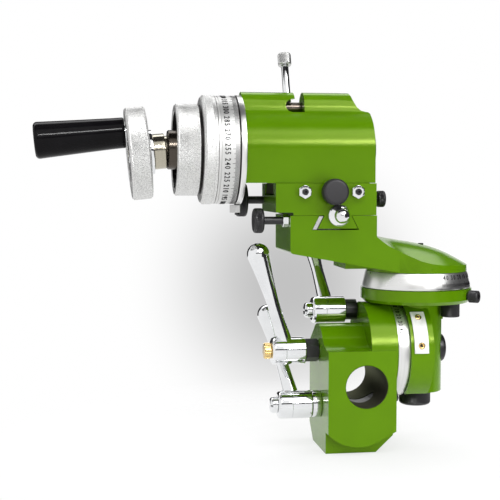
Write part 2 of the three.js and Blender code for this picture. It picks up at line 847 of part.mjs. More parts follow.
// Turns a solid that lies along X from the swivel axis to the lock knob's place on the disc's rim
function radially(solid) {
  const turnedRound = solid.rotate([0, 0, THREE.MathUtils.radToDeg(lockKnobTurn)]);
  return turnedRound.translate([swivelX, 0, lockKnobZ]);
}

function lockKnob() {
  const inner = knuckleDiscRadius + lockKnobStandOff;
  const stem = rod(lockKnobStem, "x", knuckleDiscRadius - lockKnobReach, inner + gap, [0, 0], smallFacets);
  const head = rod(lockKnobRadius, "x", inner, inner + lockKnobLength, [0, 0], smallFacets);
  return radially(joined(stem, head));
}

function swivelRing() {
  const bore = swivelRingTopRadius - swivelRingWall;
  const profile = [
    [bore, ringBottomZ],
    [swivelRingRadius, ringBottomZ],
    [swivelRingRadius, ringBottomZ + swivelRingBand],
    [swivelRingTopRadius, ringTopZ],
    [bore, ringTopZ],
    [bore, ringBottomZ],
  ];
  return turned(profile, "z", [swivelX, 0], largeFacets);
}

// Curved bare plate on the front of the tilt flange
function namePlate() {
  const [inner, outer] = [knuckleFlangeRadius + gap, knuckleFlangeRadius + gap + plateThickness];
  const [from, to] = [plateFrom, plateTo].map((turn) => 90 + THREE.MathUtils.radToDeg(turn));
  const outline = [
    ...arc(tiltAxis, outer, from, to, filletSteps * 2),
    ...arc(tiltAxis, inner, to, from, filletSteps * 2),
  ];
  const left = knuckleLeft + plateInset;
  return cut(prism(outline, "x", left, left + plateWidth), ...rivetHoles());
}

// Rivet through the plate into the flange, or the hole for it with a clearance
function rivetAt(share, clearance = 0) {
  const turn = plateFrom + (plateTo - plateFrom) * share;
  const from = knuckleFlangeRadius - rivetHeight * 3 - clearance;
  const plateTop = knuckleFlangeRadius + gap + plateThickness;
  const shankTop = plateTop + (clearance ? overrun : gap);
  const shank = rod(rivetRadius / 2 + clearance, "z", from, shankTop, [0, 0], filletSteps * 2);
  const head = rod(rivetRadius, "z", plateTop + gap, plateTop + gap + rivetHeight, [0, 0], filletSteps * 2);
  const whole = clearance ? shank : joined(shank, head);
  const across = knuckleLeft + plateInset + plateWidth / 2;
  return whole.rotate([THREE.MathUtils.radToDeg(turn), 0, 0]).translate([across, 0, tiltZ]);
}

const rivetHoles = () => rivetShares.map((share) => rivetAt(share, gap));

// Screw in the side of the boss that grips the swivel bolt
function sideScrew() {
  const right = knuckleRight + sideScrewHeadWidth;
  const rounding = sideScrewRounding;
  const profile = [
    [0, swivelX + swivelBoltRadius + gap * 2],
    [sideScrewRadius, swivelX + swivelBoltRadius + gap * 2],
    [sideScrewRadius, knuckleRight],
    [sideScrewHeadRadius, knuckleRight],
    [sideScrewHeadRadius, right - rounding],
    [sideScrewHeadRadius - rounding, right],
    [0, right],
  ];
  return turned(profile, "x", tiltAxis);
}

function discScrew() {
  const centre = [swivelX + discScrewRight, -discScrewForward];
  const headTop = discBottomZ - gap;
  const head = rod(discScrewRadius, "z", headTop - discScrewHeight, headTop, centre);
  const shank = rod(discScrewShankRadius, "z", headTop - gap, discScrewTip, centre, smallFacets);
  const [mouth, floor] = [headTop - discScrewHeight - overrun, headTop - discScrewHeight / 2];
  const socket = rod(discScrewSocket, "z", mouth, floor, centre, hexSides);
  return joined(cut(head, socket), shank);
}

function swivelNut() {
  const top = knuckleFootZ - gap;
  const bottom = top - swivelNutHeight;
  const rounding = swivelNutRounding;
  const bore = swivelBoltRadius + gap;
  const blind = bottom + swivelNutHeight / 4;
  const profile = [
    [0, bottom],
    [swivelNutRadius - rounding, bottom],
    [swivelNutRadius, bottom + rounding],
    [swivelNutRadius, top],
    [bore, top],
    [bore, blind],
    [0, blind],
  ];
  return turned(profile, "z", [swivelX, 0]);
}

function tiltRing() {
  const left = baseFlangeRight + gap;
  return tube(tiltRingRadius, tiltRingBore, "x", left, tiltRingRight, tiltAxis, largeFacets);
}

function knuckleGroup() {
  const group = new THREE.Group();
  group.add(
    part("knuckle_casting", cut(knuckleCasting(), ...rivetHoles()), greenPaint),
    part("tilt_bolt", tiltBolt(), greySteel),
    part("tilt_ring", tiltRing(), machinedAlloy),
    part("swivel_ring", swivelRing(), machinedAlloy),
    part("name_plate", namePlate(), whitePlate),
    part("upper_rivet", rivetAt(rivetShares[0]), brass),
    part("lower_rivet", rivetAt(rivetShares[1]), brass),
    part("swivel_lock_knob", lockKnob(), blackPlastic),
    part("swivel_side_screw", sideScrew(), blackOxide),
    part("disc_screw", discScrew(), blackOxide),
    part("swivel_nut", swivelNut(), blackPlastic),
  );
  return group;
}

// Heights of the slides: underside of the head, then the cross slide, then the slide base
const headBottomZ = -headDrop;
const crossTopZ = headBottomZ - gap;
const crossBottomZ = crossTopZ - crossHeight;
const slideTopZ = crossBottomZ - gap;
const slideBottomZ = slideTopZ - baseSlideDepth;
const undersideZ = (x) => slideBottomZ - (x - baseSlideLeft) * Math.tan(undersideSlope);
const crossWidth = crossRight - crossLeft;
const domeTop = slideTopZ - domeShoulder;
const domeRight = swivelX + domeRadius;

// Height of the dome's ridge and of the crease where its sides start, along the dome from the
// slide base to the rim: share of the length, then shares of the rise for the ridge and crease
const domeShares = [
  [0, 0, 0],
  [0.09, 0.03, 0.26],
  [0.235, 0.13, 0.52],
  [0.34, 0.19, 0.7],
  [0.45, 0.25, 0.86],
  [0.56, 0.33, 0.93],
  [0.66, 0.42, 0.96],
  [0.76, 0.55, 0.98],
  [0.86, 0.73, 0.99],
  [0.94, 0.88, 0.995],
  [1, 1, 1],
];

function domeHeights(x) {
  const along = THREE.MathUtils.clamp((x - baseSlideRight) / (domeRight - baseSlideRight), 0, 1);
  const next = Math.max(1, domeShares.findIndex(([share]) => share >= along));
  const [fromShare, fromRidge, fromCrease] = domeShares[next - 1];
  const [toShare, toRidge, toCrease] = domeShares[next];
  const t = (along - fromShare) / (toShare - fromShare);
  const ridge = domeTop - domeRise * THREE.MathUtils.lerp(fromRidge, toRidge, t);
  const crease = domeTop - domeRise * THREE.MathUtils.lerp(fromCrease, toCrease, t);
  return [ridge, crease];
}

// Section across the dome at one place along it: flat seat, upright sides, crowned top
function domeSection(x, halfWidth) {
  const [ridge, crease] = domeHeights(x);
  const bottom = Math.max(undersideZ(x), seatZ);
  const points = [[x, -halfWidth, bottom], [x, halfWidth, bottom]];
  for (let i = 0; i <= domeCrownSteps; i += 1) {
    const across = 1 - (2 * i) / domeCrownSteps;
    points.push([x, halfWidth * across, crease + (ridge - crease) * (1 - across ** 2)]);
  }
  return points;
}

// Dome: skinned from the end of the slide base out to the round rim over the swivel
function dome() {
  const neckEnd = swivelX - Math.sqrt(domeRadius ** 2 - slideHalf ** 2);
  const sections = [domeSection(baseSlideRight - overrun, slideHalf)];
  for (const share of [0, 0.25, 0.5, 0.75]) {
    sections.push(domeSection(THREE.MathUtils.lerp(baseSlideRight, neckEnd, share), slideHalf));
  }
  const startTurn = Math.acos((swivelX - neckEnd) / domeRadius);
  const endTurn = Math.PI - Math.asin(domeRim / domeRadius);
  for (let i = 0; i <= domeRimSteps; i += 1) {
    const turn = THREE.MathUtils.lerp(startTurn, endTurn, i / domeRimSteps);
    sections.push(domeSection(swivelX - domeRadius * Math.cos(turn), domeRadius * Math.sin(turn)));
  }
  const rim = rod(domeRadius, "z", seatZ, seatZ + domeRim / 2, [swivelX, 0], largeFacets);
  return joined(lofted(sections), rim);
}

// Dovetail outline about a centre, narrowest at its top and wider by the flare after the drop, drawn
// on up to the height given last, with room left at its left flank, right flank and floor
function dovetail(centre, topZ, drop, half, flare, upTo, [leftRoom, rightRoom, floorRoom]) {
  const floor = topZ - drop + floorRoom;
  const halfAt = (z) => half + (flare * (topZ - z)) / drop;
  return [
    [centre - halfAt(floor) + leftRoom, floor],
    [centre + halfAt(floor) - rightRoom, floor],
    [centre + halfAt(upTo) - rightRoom, upTo],
    [centre - halfAt(upTo) + leftRoom, upTo],
  ];
}

// Slot for a dovetail: its flanks reach up past the surface so that the cut runs clear
function dovetailSlot(centre, topZ, ...sizes) {
  return dovetail(centre, topZ, ...sizes, topZ + overrun, [0, 0, 0]);
}

// Male dovetail under a slide, clear of the gib on its left flank
function dovetailTongue(centre, topZ, rootZ, ...sizes) {
  const room = [gap + gibThickness + gap, tailFlankRoom, tailFloorRoom];
  return dovetail(centre, topZ, ...sizes, rootZ, room);
}

// Gib between the slot's left flank and the tongue
function gibOutline(centre, topZ, drop, half, flare) {
  const slope = flare / drop;
  const bottom = topZ - drop + gap;
  const left = centre - half + gap;
  return [
    [left - slope * (topZ - bottom), bottom],
    [left - slope * (topZ - bottom) + gibThickness, bottom],
    [left + gibThickness - slope * gap, topZ - gap],
    [left - slope * gap, topZ - gap],
  ];
}

const crossTailSizes = [crossDovetailDrop, crossDovetailHalf, crossDovetailFlare];
const headTailSizes = [headDovetailDrop, headDovetailHalf + gibThickness / 2 + gap, headDovetailFlare];
const headTailCentre = -(gibThickness / 2 + gap);
const thumbZ = slideTopZ - thumbDrop;
const thumbAxis = [-thumbForward, thumbZ];
const thumbHeadRight = baseSlideLeft - thumbStandOff;
const gibFlankAt = (z) =>
  crossDovetailCentre - crossDovetailHalf - ((slideTopZ - z) * crossDovetailFlare) / crossDovetailDrop;
const domeScrewX = swivelX + domeScrewOffset;

function slideBase() {
  const corner = [baseSlideLeft + cornerRounding, undersideZ(baseSlideLeft) + cornerRounding];
  const side = [
    [baseSlideLeft, slideTopZ],
    ...arc(corner, cornerRounding, 180, 270 - THREE.MathUtils.radToDeg(undersideSlope)),
    [baseSlideRight, undersideZ(baseSlideRight)],
    [baseSlideRight, slideTopZ],
  ];
  const pad = box(
    [seatPadLeft, -seatPadHalf, -seatPadDrop],
    [swivelX - domeRadius / 2, seatPadHalf, domeTop - domeShoulder],
  );
  const solid = joined(prism(side, "y", -slideHalf, slideHalf), dome(), pad);
  const slot = prism(
    dovetailSlot(crossDovetailCentre, slideTopZ, ...crossTailSizes),
    "y",
    -slideHalf - overrun,
    slideHalf + overrun,
  );
  const slotLeft = crossDovetailCentre - crossDovetailHalf;
  const thumbHole = rod(thumbScrewRadius + gap, "x", baseSlideLeft - overrun, slotLeft, thumbAxis);
  const [ridge] = domeHeights(domeScrewX);
  const domeHole = [ridge - domeScrewDepth, ridge + overrun, [domeScrewX, 0], screwFacets];
  const screwHole = rod(domeScrewRadius + gap, "z", ...domeHole);
  const boltTop = seatZ + swivelBoltSunk + gap;
  const boltHole = rod(swivelBoltRadius + gap, "z", seatZ - overrun, boltTop, [swivelX, 0]);
  return cut(solid, slot, thumbHole, screwHole, boltHole);
}

function thumbScrew() {
  const left = thumbHeadRight - thumbHeadWidth;
  const tip = gibFlankAt(thumbZ - thumbScrewRadius) - gap;
  const rounding = thumbHeadRounding;
  const profile = [
    [0, left],
    [thumbHeadRadius - rounding, left],
    [thumbHeadRadius, left + rounding],
    [thumbHeadRadius, thumbHeadRight - rounding],
    [thumbHeadRadius - rounding, thumbHeadRight],
    [thumbScrewRadius, thumbHeadRight],
    [thumbScrewRadius, tip],
    [0, tip],
  ];
  return turned(profile, "x", thumbAxis);
}

function domeScrew() {
  const [ridge] = domeHeights(domeScrewX);
  const [tip, top] = [ridge - domeScrewDepth + gap, ridge + domeScrewHeight];
  return rod(domeScrewRadius, "z", tip, top, [domeScrewX, 0], screwFacets);
}

function slideBaseGroup() {
  const group = new THREE.Group();
  const gibHalf = slideHalf - gap * 3;
  const gibSection = gibOutline(crossDovetailCentre, slideTopZ, ...crossTailSizes);
  const nutRight = baseSlideLeft - gap;
  const nutSizes = [cornerOf(thumbNutAcross), thumbScrewRadius + gap];
  const boltEnd = knuckleFootZ - gap - swivelNutHeight * swivelBoltShare;
  group.add(
    part("slide_base", slideBase(), greenPaint),
    part("cross_gib", prism(gibSection, "y", -gibHalf, gibHalf), machinedAlloy),
    part("gib_thumb_screw", thumbScrew(), blackPlastic),
    part(
      "gib_thumb_nut",
      hexNut(...nutSizes, "x", nutRight - thumbNutWidth, nutRight, thumbAxis),
      brightSteel,
    ),
    part("dome_screw", domeScrew(), blackOxide),
    part("swivel_bolt", rod(swivelBoltRadius, "z", boltEnd, seatZ + swivelBoltSunk, [swivelX, 0]), greySteel),
  );
  return group;
}

// Cross slide: block with the head's dovetail slot along X on top and a tongue along Y below
const headGibFlankAt = (z) =>
  headTailCentre - headTailSizes[1] - ((crossTopZ - z) * headDovetailFlare) / headDovetailDrop;
const gibScrewZ = crossTopZ - gibScrewDrop;
const gibScrewXs = gibScrewShares.map((share) => crossLeft + crossWidth * share);
const clampX = crossLeft + crossWidth * clampKnobShare;
const leftStopAxis = [leftStopSetBack, crossTopZ - leftStopDrop];
const rightStopAxis = [rightStopSetBack, crossTopZ - rightStopDrop];

function crossSlide() {
  const block = box([crossLeft, -slideHalf, crossBottomZ], [crossRight, slideHalf, crossTopZ]);
  const relief = box(
    [crossLeft - overrun, -slideHalf - overrun, crossBottomZ - overrun],
    [crossLeft + crossReliefLength, slideHalf + overrun, crossBottomZ + crossReliefHeight],
  );
  const tongue = prism(
    dovetailTongue(crossDovetailCentre, slideTopZ, crossBottomZ + gap, ...crossTailSizes),
    "y",
    -slideHalf,
    slideHalf,
  );
  const slotDrop = headTailSizes[0] + gap;
  const slotHalf = headTailSizes[1] + gap / 2;
  const slot = prism(
    dovetailSlot(headTailCentre, crossTopZ, slotDrop, slotHalf, headTailSizes[2]),
    "x",
    crossLeft - overrun,
    crossRight + overrun,
  );
  const hole = (radius, x, z) => rod(radius + gap, "y", -slideHalf - overrun, headGibFlankAt(z), [x, z]);
  const stopDepth = (crossRight - crossLeft) * stopDepthShare;
  const stopHole = (from, to, axis) => rod(stopScrewRadius + gap, "x", from, to, axis);
  const handleHole = rod(
    pushHandleNeckRadius / 2 + gap,
    "y",
    -slideHalf - overrun,
    pushHandleReach - slideHalf,
    [pushHandleX, crossBottomZ],
    smallFacets,
  );
  return cut(
    joined(block, tongue),
    slot,
    ...gibScrewXs.map((x) => hole(gibScrewRadius, x, gibScrewZ)),
    hole(clampStemRadius, clampX, gibScrewZ),
    stopHole(crossLeft - overrun, crossLeft + stopDepth, leftStopAxis),
    stopHole(crossRight - stopDepth, crossRight + overrun, rightStopAxis),
    handleHole,
    relief,
  );
}

function gibScrew(x) {
  const tip = headGibFlankAt(gibScrewZ - gibScrewRadius) - gap;
  const head = -slideHalf - gibScrewStickOut;
  const screw = rod(gibScrewRadius, "y", head, tip, [x, gibScrewZ], screwFacets);
  const floor = head + gibScrewRadius;
  const socket = rod(gibScrewRadius / 2, "y", head - overrun, floor, [x, gibScrewZ], hexSides);
  return cut(screw, socket);
}

function gibNut(x) {
  const back = -slideHalf - gap;
  const sizes = [cornerOf(gibNutAcross), gibScrewRadius + gap];
  return hexNut(...sizes, "y", back - gibNutHeight, back, [x, gibScrewZ], 90);
}

function clampKnob() {
  const back = -slideHalf - clampKnobStandOff;
  const front = back - clampKnobHeight;
  const tip = headGibFlankAt(gibScrewZ - clampStemRadius) - gap;
  const rounding = clampKnobRounding;
  const profile = [
    [0, tip],
    [clampStemRadius, tip],
    [clampStemRadius, back],
    [clampKnobRadius - rounding / 2, back],
    [clampKnobRadius, back - rounding / 2],
    [clampKnobRadius, front + rounding],
    [clampKnobRadius - rounding, front],
    [0, front],
  ];
  return turned(profile, "y", [clampX, gibScrewZ]);
}

function pushHandle() {
  const face = -slideHalf - gap;
  const ballY = -slideHalf - pushHandleReach + pushHandleBallRadius;
  const chamfer = pushHandleChamfer;
  const pin = pushHandleNeckRadius / 2;
  const ball = arc([0, ballY], pushHandleBallRadius, -90, pushHandleBallTo, filletSteps + 2);
  ball[0][0] = 0;
  const profile = [
    ...ball,
    [pushHandleNeckRadius, face - pushHandleCollarWidth - chamfer],
    [pushHandleCollarRadius - chamfer * 2, face - pushHandleCollarWidth],
    [pushHandleCollarRadius, face - pushHandleCollarWidth / 2],
    [pushHandleCollarRadius, face],
    [pin, face],
    [pin, pushHandleReach / 2 - slideHalf],
    [0, pushHandleReach / 2 - slideHalf],
  ];
  return turned(profile, "y", [pushHandleX, crossBottomZ]);
}

// Stop screw along X: a round head that stands off a face, and a shank into the block
function stopScrew(headRadius, headFace, headEnd, shankEnd, axis) {
  const inward = Math.sign(headFace - headEnd) * stopHeadRounding;
  const profile = [
    [0, headEnd],
    [headRadius - stopHeadRounding, headEnd],
    [headRadius, headEnd + inward],
    [headRadius, headFace - inward],
    [headRadius - stopHeadRounding, headFace],
    [stopScrewRadius, headFace],
    [stopScrewRadius, shankEnd],
    [0, shankEnd],
  ];
  return turned(profile, "x", axis);
}

function crossSlideGroup() {
  const group = new THREE.Group();
  const shank = (crossRight - crossLeft) * stopDepthShare - gap;
  const leftFace = crossLeft - leftStopStandOff;
  const rightFace = crossRight + rightStopStandOff;
  const [leftEnd, rightEnd] = [leftFace - leftStopHeadWidth, rightFace + rightStopHeadWidth];
  const gibPart = prism(
    gibOutline(headTailCentre, crossTopZ, ...headTailSizes),
    "x",
    crossLeft + gap * 3,
    crossRight - gap * 3,
  );
  group.add(
    part("cross_slide", crossSlide(), greenPaint),
    part("head_gib", gibPart, machinedAlloy),
    part("left_gib_screw", gibScrew(gibScrewXs[0]), blackOxide),
    part("left_gib_nut", gibNut(gibScrewXs[0]), greySteel),
    part("right_gib_screw", gibScrew(gibScrewXs[1]), blackOxide),
    part("right_gib_nut", gibNut(gibScrewXs[1]), greySteel),
    part("head_clamp_knob", clampKnob(), blackPlastic),
    part("push_handle", pushHandle(), brightSteel),
    part(
      "left_stop_screw",
      stopScrew(leftStopHeadRadius, leftFace, leftEnd, crossLeft + shank, leftStopAxis),
      blackPlastic,
    ),
    part(
      "right_stop_screw",
      stopScrew(rightStopHeadRadius, rightFace, rightEnd, crossRight - shank, rightStopAxis),
      blackPlastic,
    ),
  );
  return group;
}

// Head: barrel and plunger boss blended by hollow fillets, with a tongue under it, extruded along X
const stemX = stemFromLeft;
const crossSlotRight = stemX + plungerOut + stemRadius + gap * 3;
const backSlotLeft = stemX - plungerIn - stemRadius - gap * 2;

function headOutline() {
  const fromBarrel = barrelRadius + headFillet;
  const fromBoss = rodBossRadius + headFillet;
  const z = (fromBarrel ** 2 - fromBoss ** 2 + rodHeight ** 2) / (2 * rodHeight);
  const y = Math.sqrt(fromBarrel ** 2 - z ** 2);
  const barrelTurn = THREE.MathUtils.radToDeg(Math.atan2(z, y));
  const bossTurn = THREE.MathUtils.radToDeg(Math.atan2(z - rodHeight, y));
  return [
    [-barrelRadius, -headDrop],
    [barrelRadius, -headDrop],
    ...arc([0, 0], barrelRadius, 0, barrelTurn, filletSteps + 2),
    ...arc([y, z], headFillet, 180 + barrelTurn, 180 + bossTurn).slice(1),
    ...arc([0, rodHeight], rodBossRadius, bossTurn, 180 - bossTurn, filletSteps * 2).slice(1),
    ...arc([-y, z], headFillet, -bossTurn, -barrelTurn).slice(1),
    ...arc([0, 0], barrelRadius, 180 - barrelTurn, 180, filletSteps + 2).slice(1),
  ];
}

// Slots for the plunger's stem: a back leg along its travel, a cross slot over the top and a
// front pocket
function plungerSlots() {
  const top = rodHeight + rodBossRadius + overrun;
  const floor = rodHeight - slotFloorDrop;
  const rounding = slotHalfWidth;
  const leg = [
    [crossSlotRight, -slotHalfWidth],
    [crossSlotRight, slotHalfWidth],
    ...arc([backSlotLeft + rounding, 0], rounding, 90, 270, slotEndSteps),
  ];
  const backLeg = prism(leg, "z", 0, rodBossRadius + overrun)
    .rotate([-THREE.MathUtils.radToDeg(stemLean), 0, 0])
    .translate([0, 0, rodHeight]);
  const crossLeftX = crossSlotRight - crossSlotWidth;
  const across = box([crossLeftX, -crossSlotHalf, floor], [crossSlotRight, crossSlotHalf, top]);
  const half = pocketHeight / 2;
  const pocketLeft = crossLeftX - pocketWidth;
  const pocket = [
    [crossSlotRight - crossSlotWidth / 2, floor],
    [crossSlotRight - crossSlotWidth / 2, floor + pocketHeight],
    ...arc([pocketLeft + half, floor + half], half, 90, 270, slotEndSteps),
  ];
  return joined(backLeg, across, prism(pocket, "y", -crossSlotHalf, 0));
}

function headCasting() {
  const bossTop = rodHeight + rodBossRadius;
  const shelf = barrelRadius - headShelfDrop;
  const shelfFrom = headLength - headShelfLength;
  const slopeFrom = shelfFrom - rodBossSlope;
  const endZ = shelf - headEndDrop;
  const endSlope = [
    ...bend([slopeFrom, bossTop], [slopeFrom + rodBossSlope / 3, shelf], [shelfFrom, shelf]),
    ...bend([shelfFrom, shelf], [headLength, shelf], [headLength + gap, endZ]).slice(1),
    [headLength + overrun, endZ],
    [headLength + overrun, bossTop + overrun],
    [slopeFrom, bossTop + overrun],
  ];
  const tongue = prism(
    dovetailTongue(headTailCentre, crossTopZ, headBottomZ + gap, ...headTailSizes),
    "x",
    headDovetailFrom,
    headDovetailTo,
  );
  const spindleHole = rod(spindleRadius + gap, "x", -overrun, headLength + overrun, [0, 0], largeFacets);
  const rodHole = rod(rodRadius + gap, "x", -overrun, rodBoreLength, [0, rodHeight]);
  const endCut = prism(endSlope, "y", -barrelRadius, barrelRadius);
  const body = cut(prism(headOutline(), "x", 0, headLength), endCut);
  return cut(joined(body, tongue), spindleHole, rodHole, plungerSlots());
}

// Plunger: rod with a reduced tip, and a stem that leans back to the knurled knob
function indexRod() {
  const left = gap - fixedRingWidth;
  const profile = [
    [0, left],
    [rodTipRadius, left],
    [rodTipRadius, left + rodTipLength],
    [rodRadius, left + rodTipLength + rodTipRadius / 2],
    [rodRadius, left + rodLength],
    [0, left + rodLength],
  ];
  return turned(profile, "x", [0, rodHeight], smallFacets);
}

// Leans a solid that stands on the index rod's axis back along the stem
function onStem(solid) {
  const leaning = solid.rotate([-THREE.MathUtils.radToDeg(stemLean), 0, 0]);
  return leaning.translate([stemX, 0, rodHeight]);
}

function plungerStem() {
  const seat = rodRadius + gap;
  const pinRadius = stemRadius / 2;
  const profile = [
    [0, rodRadius / 2],
    [pinRadius, rodRadius / 2],
    [pinRadius, seat],
    [stemRadius, seat],
    [stemRadius, stemLength],
    [pinRadius, stemLength],
    [pinRadius, stemLength + plungerKnobHeight / 2],
    [0, stemLength + plungerKnobHeight / 2],
  ];
  return onStem(turned(profile, "z", [0, 0], smallFacets));
}

function plungerKnob() {
  const [from, to] = [stemLength + gap, stemLength + gap + plungerKnobHeight];
  const chamfer = plungerKnobChamfer;
  const bore = stemRadius / 2 + gap;
  const blind = from + plungerKnobHeight / 2;
  const profile = [
    [0, blind],
    [bore, blind],
    [bore, from],
    [plungerKnobRadius - chamfer, from],
    [plungerKnobRadius, from + chamfer],
    [plungerKnobRadius, to - chamfer],
    [plungerKnobRadius - chamfer, to],
    [0, to],
  ];
  return onStem(turned(profile, "z"));
}

function indexPlungerGroup() {
  const group = new THREE.Group();
  const [floor, mouth] = [rodRadius / 2 - gap, rodRadius + overrun];
  const pinHole = rod(stemRadius / 2 + gap, "z", floor, mouth, [0, 0], smallFacets);
  group.add(
    part("index_rod", cut(indexRod(), onStem(pinHole)), brightSteel),
    part("plunger_stem", plungerStem(), brightSteel),
    part("plunger_knob", plungerKnob(), brightSteel),
  );
  return group;
}

// Rings behind the head, from right to left
const fixedRingLeft = -fixedRingWidth;
const dialRight = fixedRingLeft - gap;
const dialLeft = dialRight - dialWidth;
const flangeRingRight = dialLeft - gap;
const flangeRingLeft = flangeRingRight - flangeRingWidth;
const lockRingRight = flangeRingLeft - gap;
const lockRingLeft = lockRingRight - lockRingWidth;
const spindleLeft = lockRingLeft - collarStickOut;
const collarRight = spindleLeft + collarLength;
const webLeft = lockRingLeft + lockRecessDepth;
const pointerTopZ = -fixedRingRadius - gap;
const pointerX = -fixedRingWidth / 2;

function fixedRing() {
  const ring = tube(fixedRingRadius, spindleRadius + gap, "x", fixedRingLeft, -gap, [0, 0], largeFacets);
  const rodHole = rod(rodRadius + gap, "x", fixedRingLeft - overrun, overrun, [0, rodHeight]);
  return cut(ring, rodHole, pointerScrewHole(pointerTopZ + pointerScrewDepth));
}

function pointerScrewHole(top) {
  const bottom = pointerTopZ - pointerDrop - overrun;
  return rod(pointerScrewRadius / 2 + gap, "z", bottom, top, [pointerX, 0], screwFacets);
}

function zeroPointer() {
  const half = pointerWidth / 2;
  const [right, tip] = [-gap * 2, -gap * 2 - pointerLength];
  const shoulder = (right + tip) / 2;
  const outline = [[right, -half], [right, half], [shoulder, half], [tip, 0], [shoulder, -half]];
  const plate = prism(outline, "z", pointerTopZ - pointerDrop, pointerTopZ);
  return cut(plate, pointerScrewHole(pointerTopZ + overrun));
}

function pointerScrew() {
  const bottom = pointerTopZ - pointerDrop - gap;
  const profile = [
    [0, bottom - pointerScrewHead],
    [pointerScrewRadius, bottom - pointerScrewHead],
    [pointerScrewRadius, bottom],
    [pointerScrewRadius / 2, bottom],
    [pointerScrewRadius / 2, pointerTopZ + pointerScrewDepth - gap],
    [0, pointerTopZ + pointerScrewDepth - gap],
  ];
  return turned(profile, "z", [pointerX, 0], screwFacets);
}

function headGroup() {
  const group = new THREE.Group();
  group.add(
    part("head_casting", headCasting(), greenPaint),
    part("fixed_ring", fixedRing(), machinedAlloy),
    part("zero_pointer", zeroPointer(), machinedAlloy),
    part("pointer_screw", pointerScrew(), blackOxide),
  );
  return group;
}

// Spindle: nose flange, tapered collet socket, bore, journal and rear collar
function spindle() {
  const noseLeft = headLength + gap;
  const right = noseLeft + spindleNoseLength;
  const profile = [
    [spindleBore, spindleLeft],
    [collarRadius, spindleLeft],
    [collarRadius, collarRight],
    [spindleRadius, collarRight],
    [spindleRadius, noseLeft],
    [spindleNoseRadius, noseLeft],
    [spindleNoseRadius, right],
    [spindleSocketRadius, right],
    [spindleBore, right - spindleSocketDepth],
    [spindleBore, spindleLeft],
  ];
  return turned(profile, "x", [0, 0], bossFacets);
}

// Graduated dial: a cup whose open side holds the index plate
function graduatedDial() {
  const inner = dialRadius - dialWall;
  const grooveRight = dialRight - dialWidth * dialGrooveShare;
  const grooveFloor = dialRadius - dialGrooveDepth;
  const profile = [
    [spindleRadius + gap, dialLeft],
    [dialRadius, dialLeft],
    [dialRadius, grooveRight - dialGrooveWidth],
    [grooveFloor, grooveRight - dialGrooveWidth],
    [grooveFloor, grooveRight],
    [dialRadius, grooveRight],
    [dialRadius, dialRight],
    [inner, dialRight],
    [inner, dialLeft + dialWall],
    [spindleRadius + gap, dialLeft + dialWall],
    [spindleRadius + gap, dialLeft],
  ];
  return turned(profile, "x", [0, 0], largeFacets);
}

function indexPlate() {
  const right = dialRight - gap;
  const left = right - indexPlateWidth;
  const disc = tube(indexPlateRadius, spindleRadius + gap, "x", left, right, [0, 0], largeFacets);
  const holes = [];
  for (let i = 0; i < indexHoles; i += 1) {
    const turn = Math.PI / 2 + (i * 2 * Math.PI) / indexHoles;
    const centre = [rodHeight * Math.cos(turn), rodHeight * Math.sin(turn)];
    holes.push(rod(indexHoleRadius, "x", left - overrun, right + overrun, centre, screwFacets));
  }
  return cut(disc, ...holes);
}

function flangeRing() {
  const c = flangeRingChamfer;
  const profile = [
    [spindleRadius + gap, flangeRingLeft],
    [flangeRingRadius - c, flangeRingLeft],
    [flangeRingRadius, flangeRingLeft + c],
    [flangeRingRadius, flangeRingRight - c / 2],
    [flangeRingRadius - c / 2, flangeRingRight],
    [spindleRadius + gap, flangeRingRight],
    [spindleRadius + gap, flangeRingLeft],
  ];
  return turned(profile, "x", [0, 0], largeFacets);
}

// Knurled lock ring, recessed on its open face, with its web stepped over the collar
function lockRing() {
  const c = lockRingChamfer;
  const profile = [
    [collarRadius + gap, webLeft],
    [lockRecessRadius, webLeft],
    [lockRecessRadius, lockRingLeft],
    [lockRingRadius - c, lockRingLeft],
    [lockRingRadius, lockRingLeft + c],
    [lockRingRadius, lockRingRight - c],
    [lockRingRadius - c, lockRingRight],
    [spindleRadius + gap, lockRingRight],
    [spindleRadius + gap, collarRight - gap],
    [collarRadius + gap, collarRight - gap],
    [collarRadius + gap, webLeft],
  ];
  return turned(profile, "x", [0, 0], largeFacets);
}

const lockScrewAxes = [[0, lockScrewPitchRadius], [0, -lockScrewPitchRadius]];
const lockScrewRight = webLeft - gap + lockScrewLength;

function lockScrewHole(axis) {
  return rod(lockScrewShankRadius + gap, "x", webLeft - overrun, lockScrewRight + gap, axis, smallFacets);
}

function lockScrew(axis) {
  const headRight = webLeft - gap;
  const headLeft = headRight - lockScrewHeadHeight;
  const profile = [
    [0, headLeft],
    [lockScrewHeadRadius, headLeft],
    [lockScrewHeadRadius, headRight],
    [lockScrewShankRadius, headRight],
    [lockScrewShankRadius, lockScrewRight],
    [0, lockScrewRight],
  ];
  const floor = headLeft + lockScrewHeadHeight / 2;
  const socket = rod(lockScrewHeadRadius / 2, "x", headLeft - overrun, floor, axis, hexSides);
  return cut(turned(profile, "x", axis, smallFacets), socket);
}

function spindleGroup() {
  const group = new THREE.Group();
  const screwHoles = lockScrewAxes.map(lockScrewHole);
  group.add(
    part("spindle", spindle(), greySteel),
    part("graduated_dial", graduatedDial(), machinedAlloy),
    part("index_plate", indexPlate(), machinedAlloy),
    part("flange_ring", cut(flangeRing(), ...screwHoles), machinedAlloy),
    part("lock_ring", cut(lockRing(), ...screwHoles), machinedAlloy),
    part("upper_lock_screw", lockScrew(lockScrewAxes[0]), blackOxide),
    part("lower_lock_screw", lockScrew(lockScrewAxes[1]), blackOxide),
    drawbarGroup(),
  );
  return group;
}

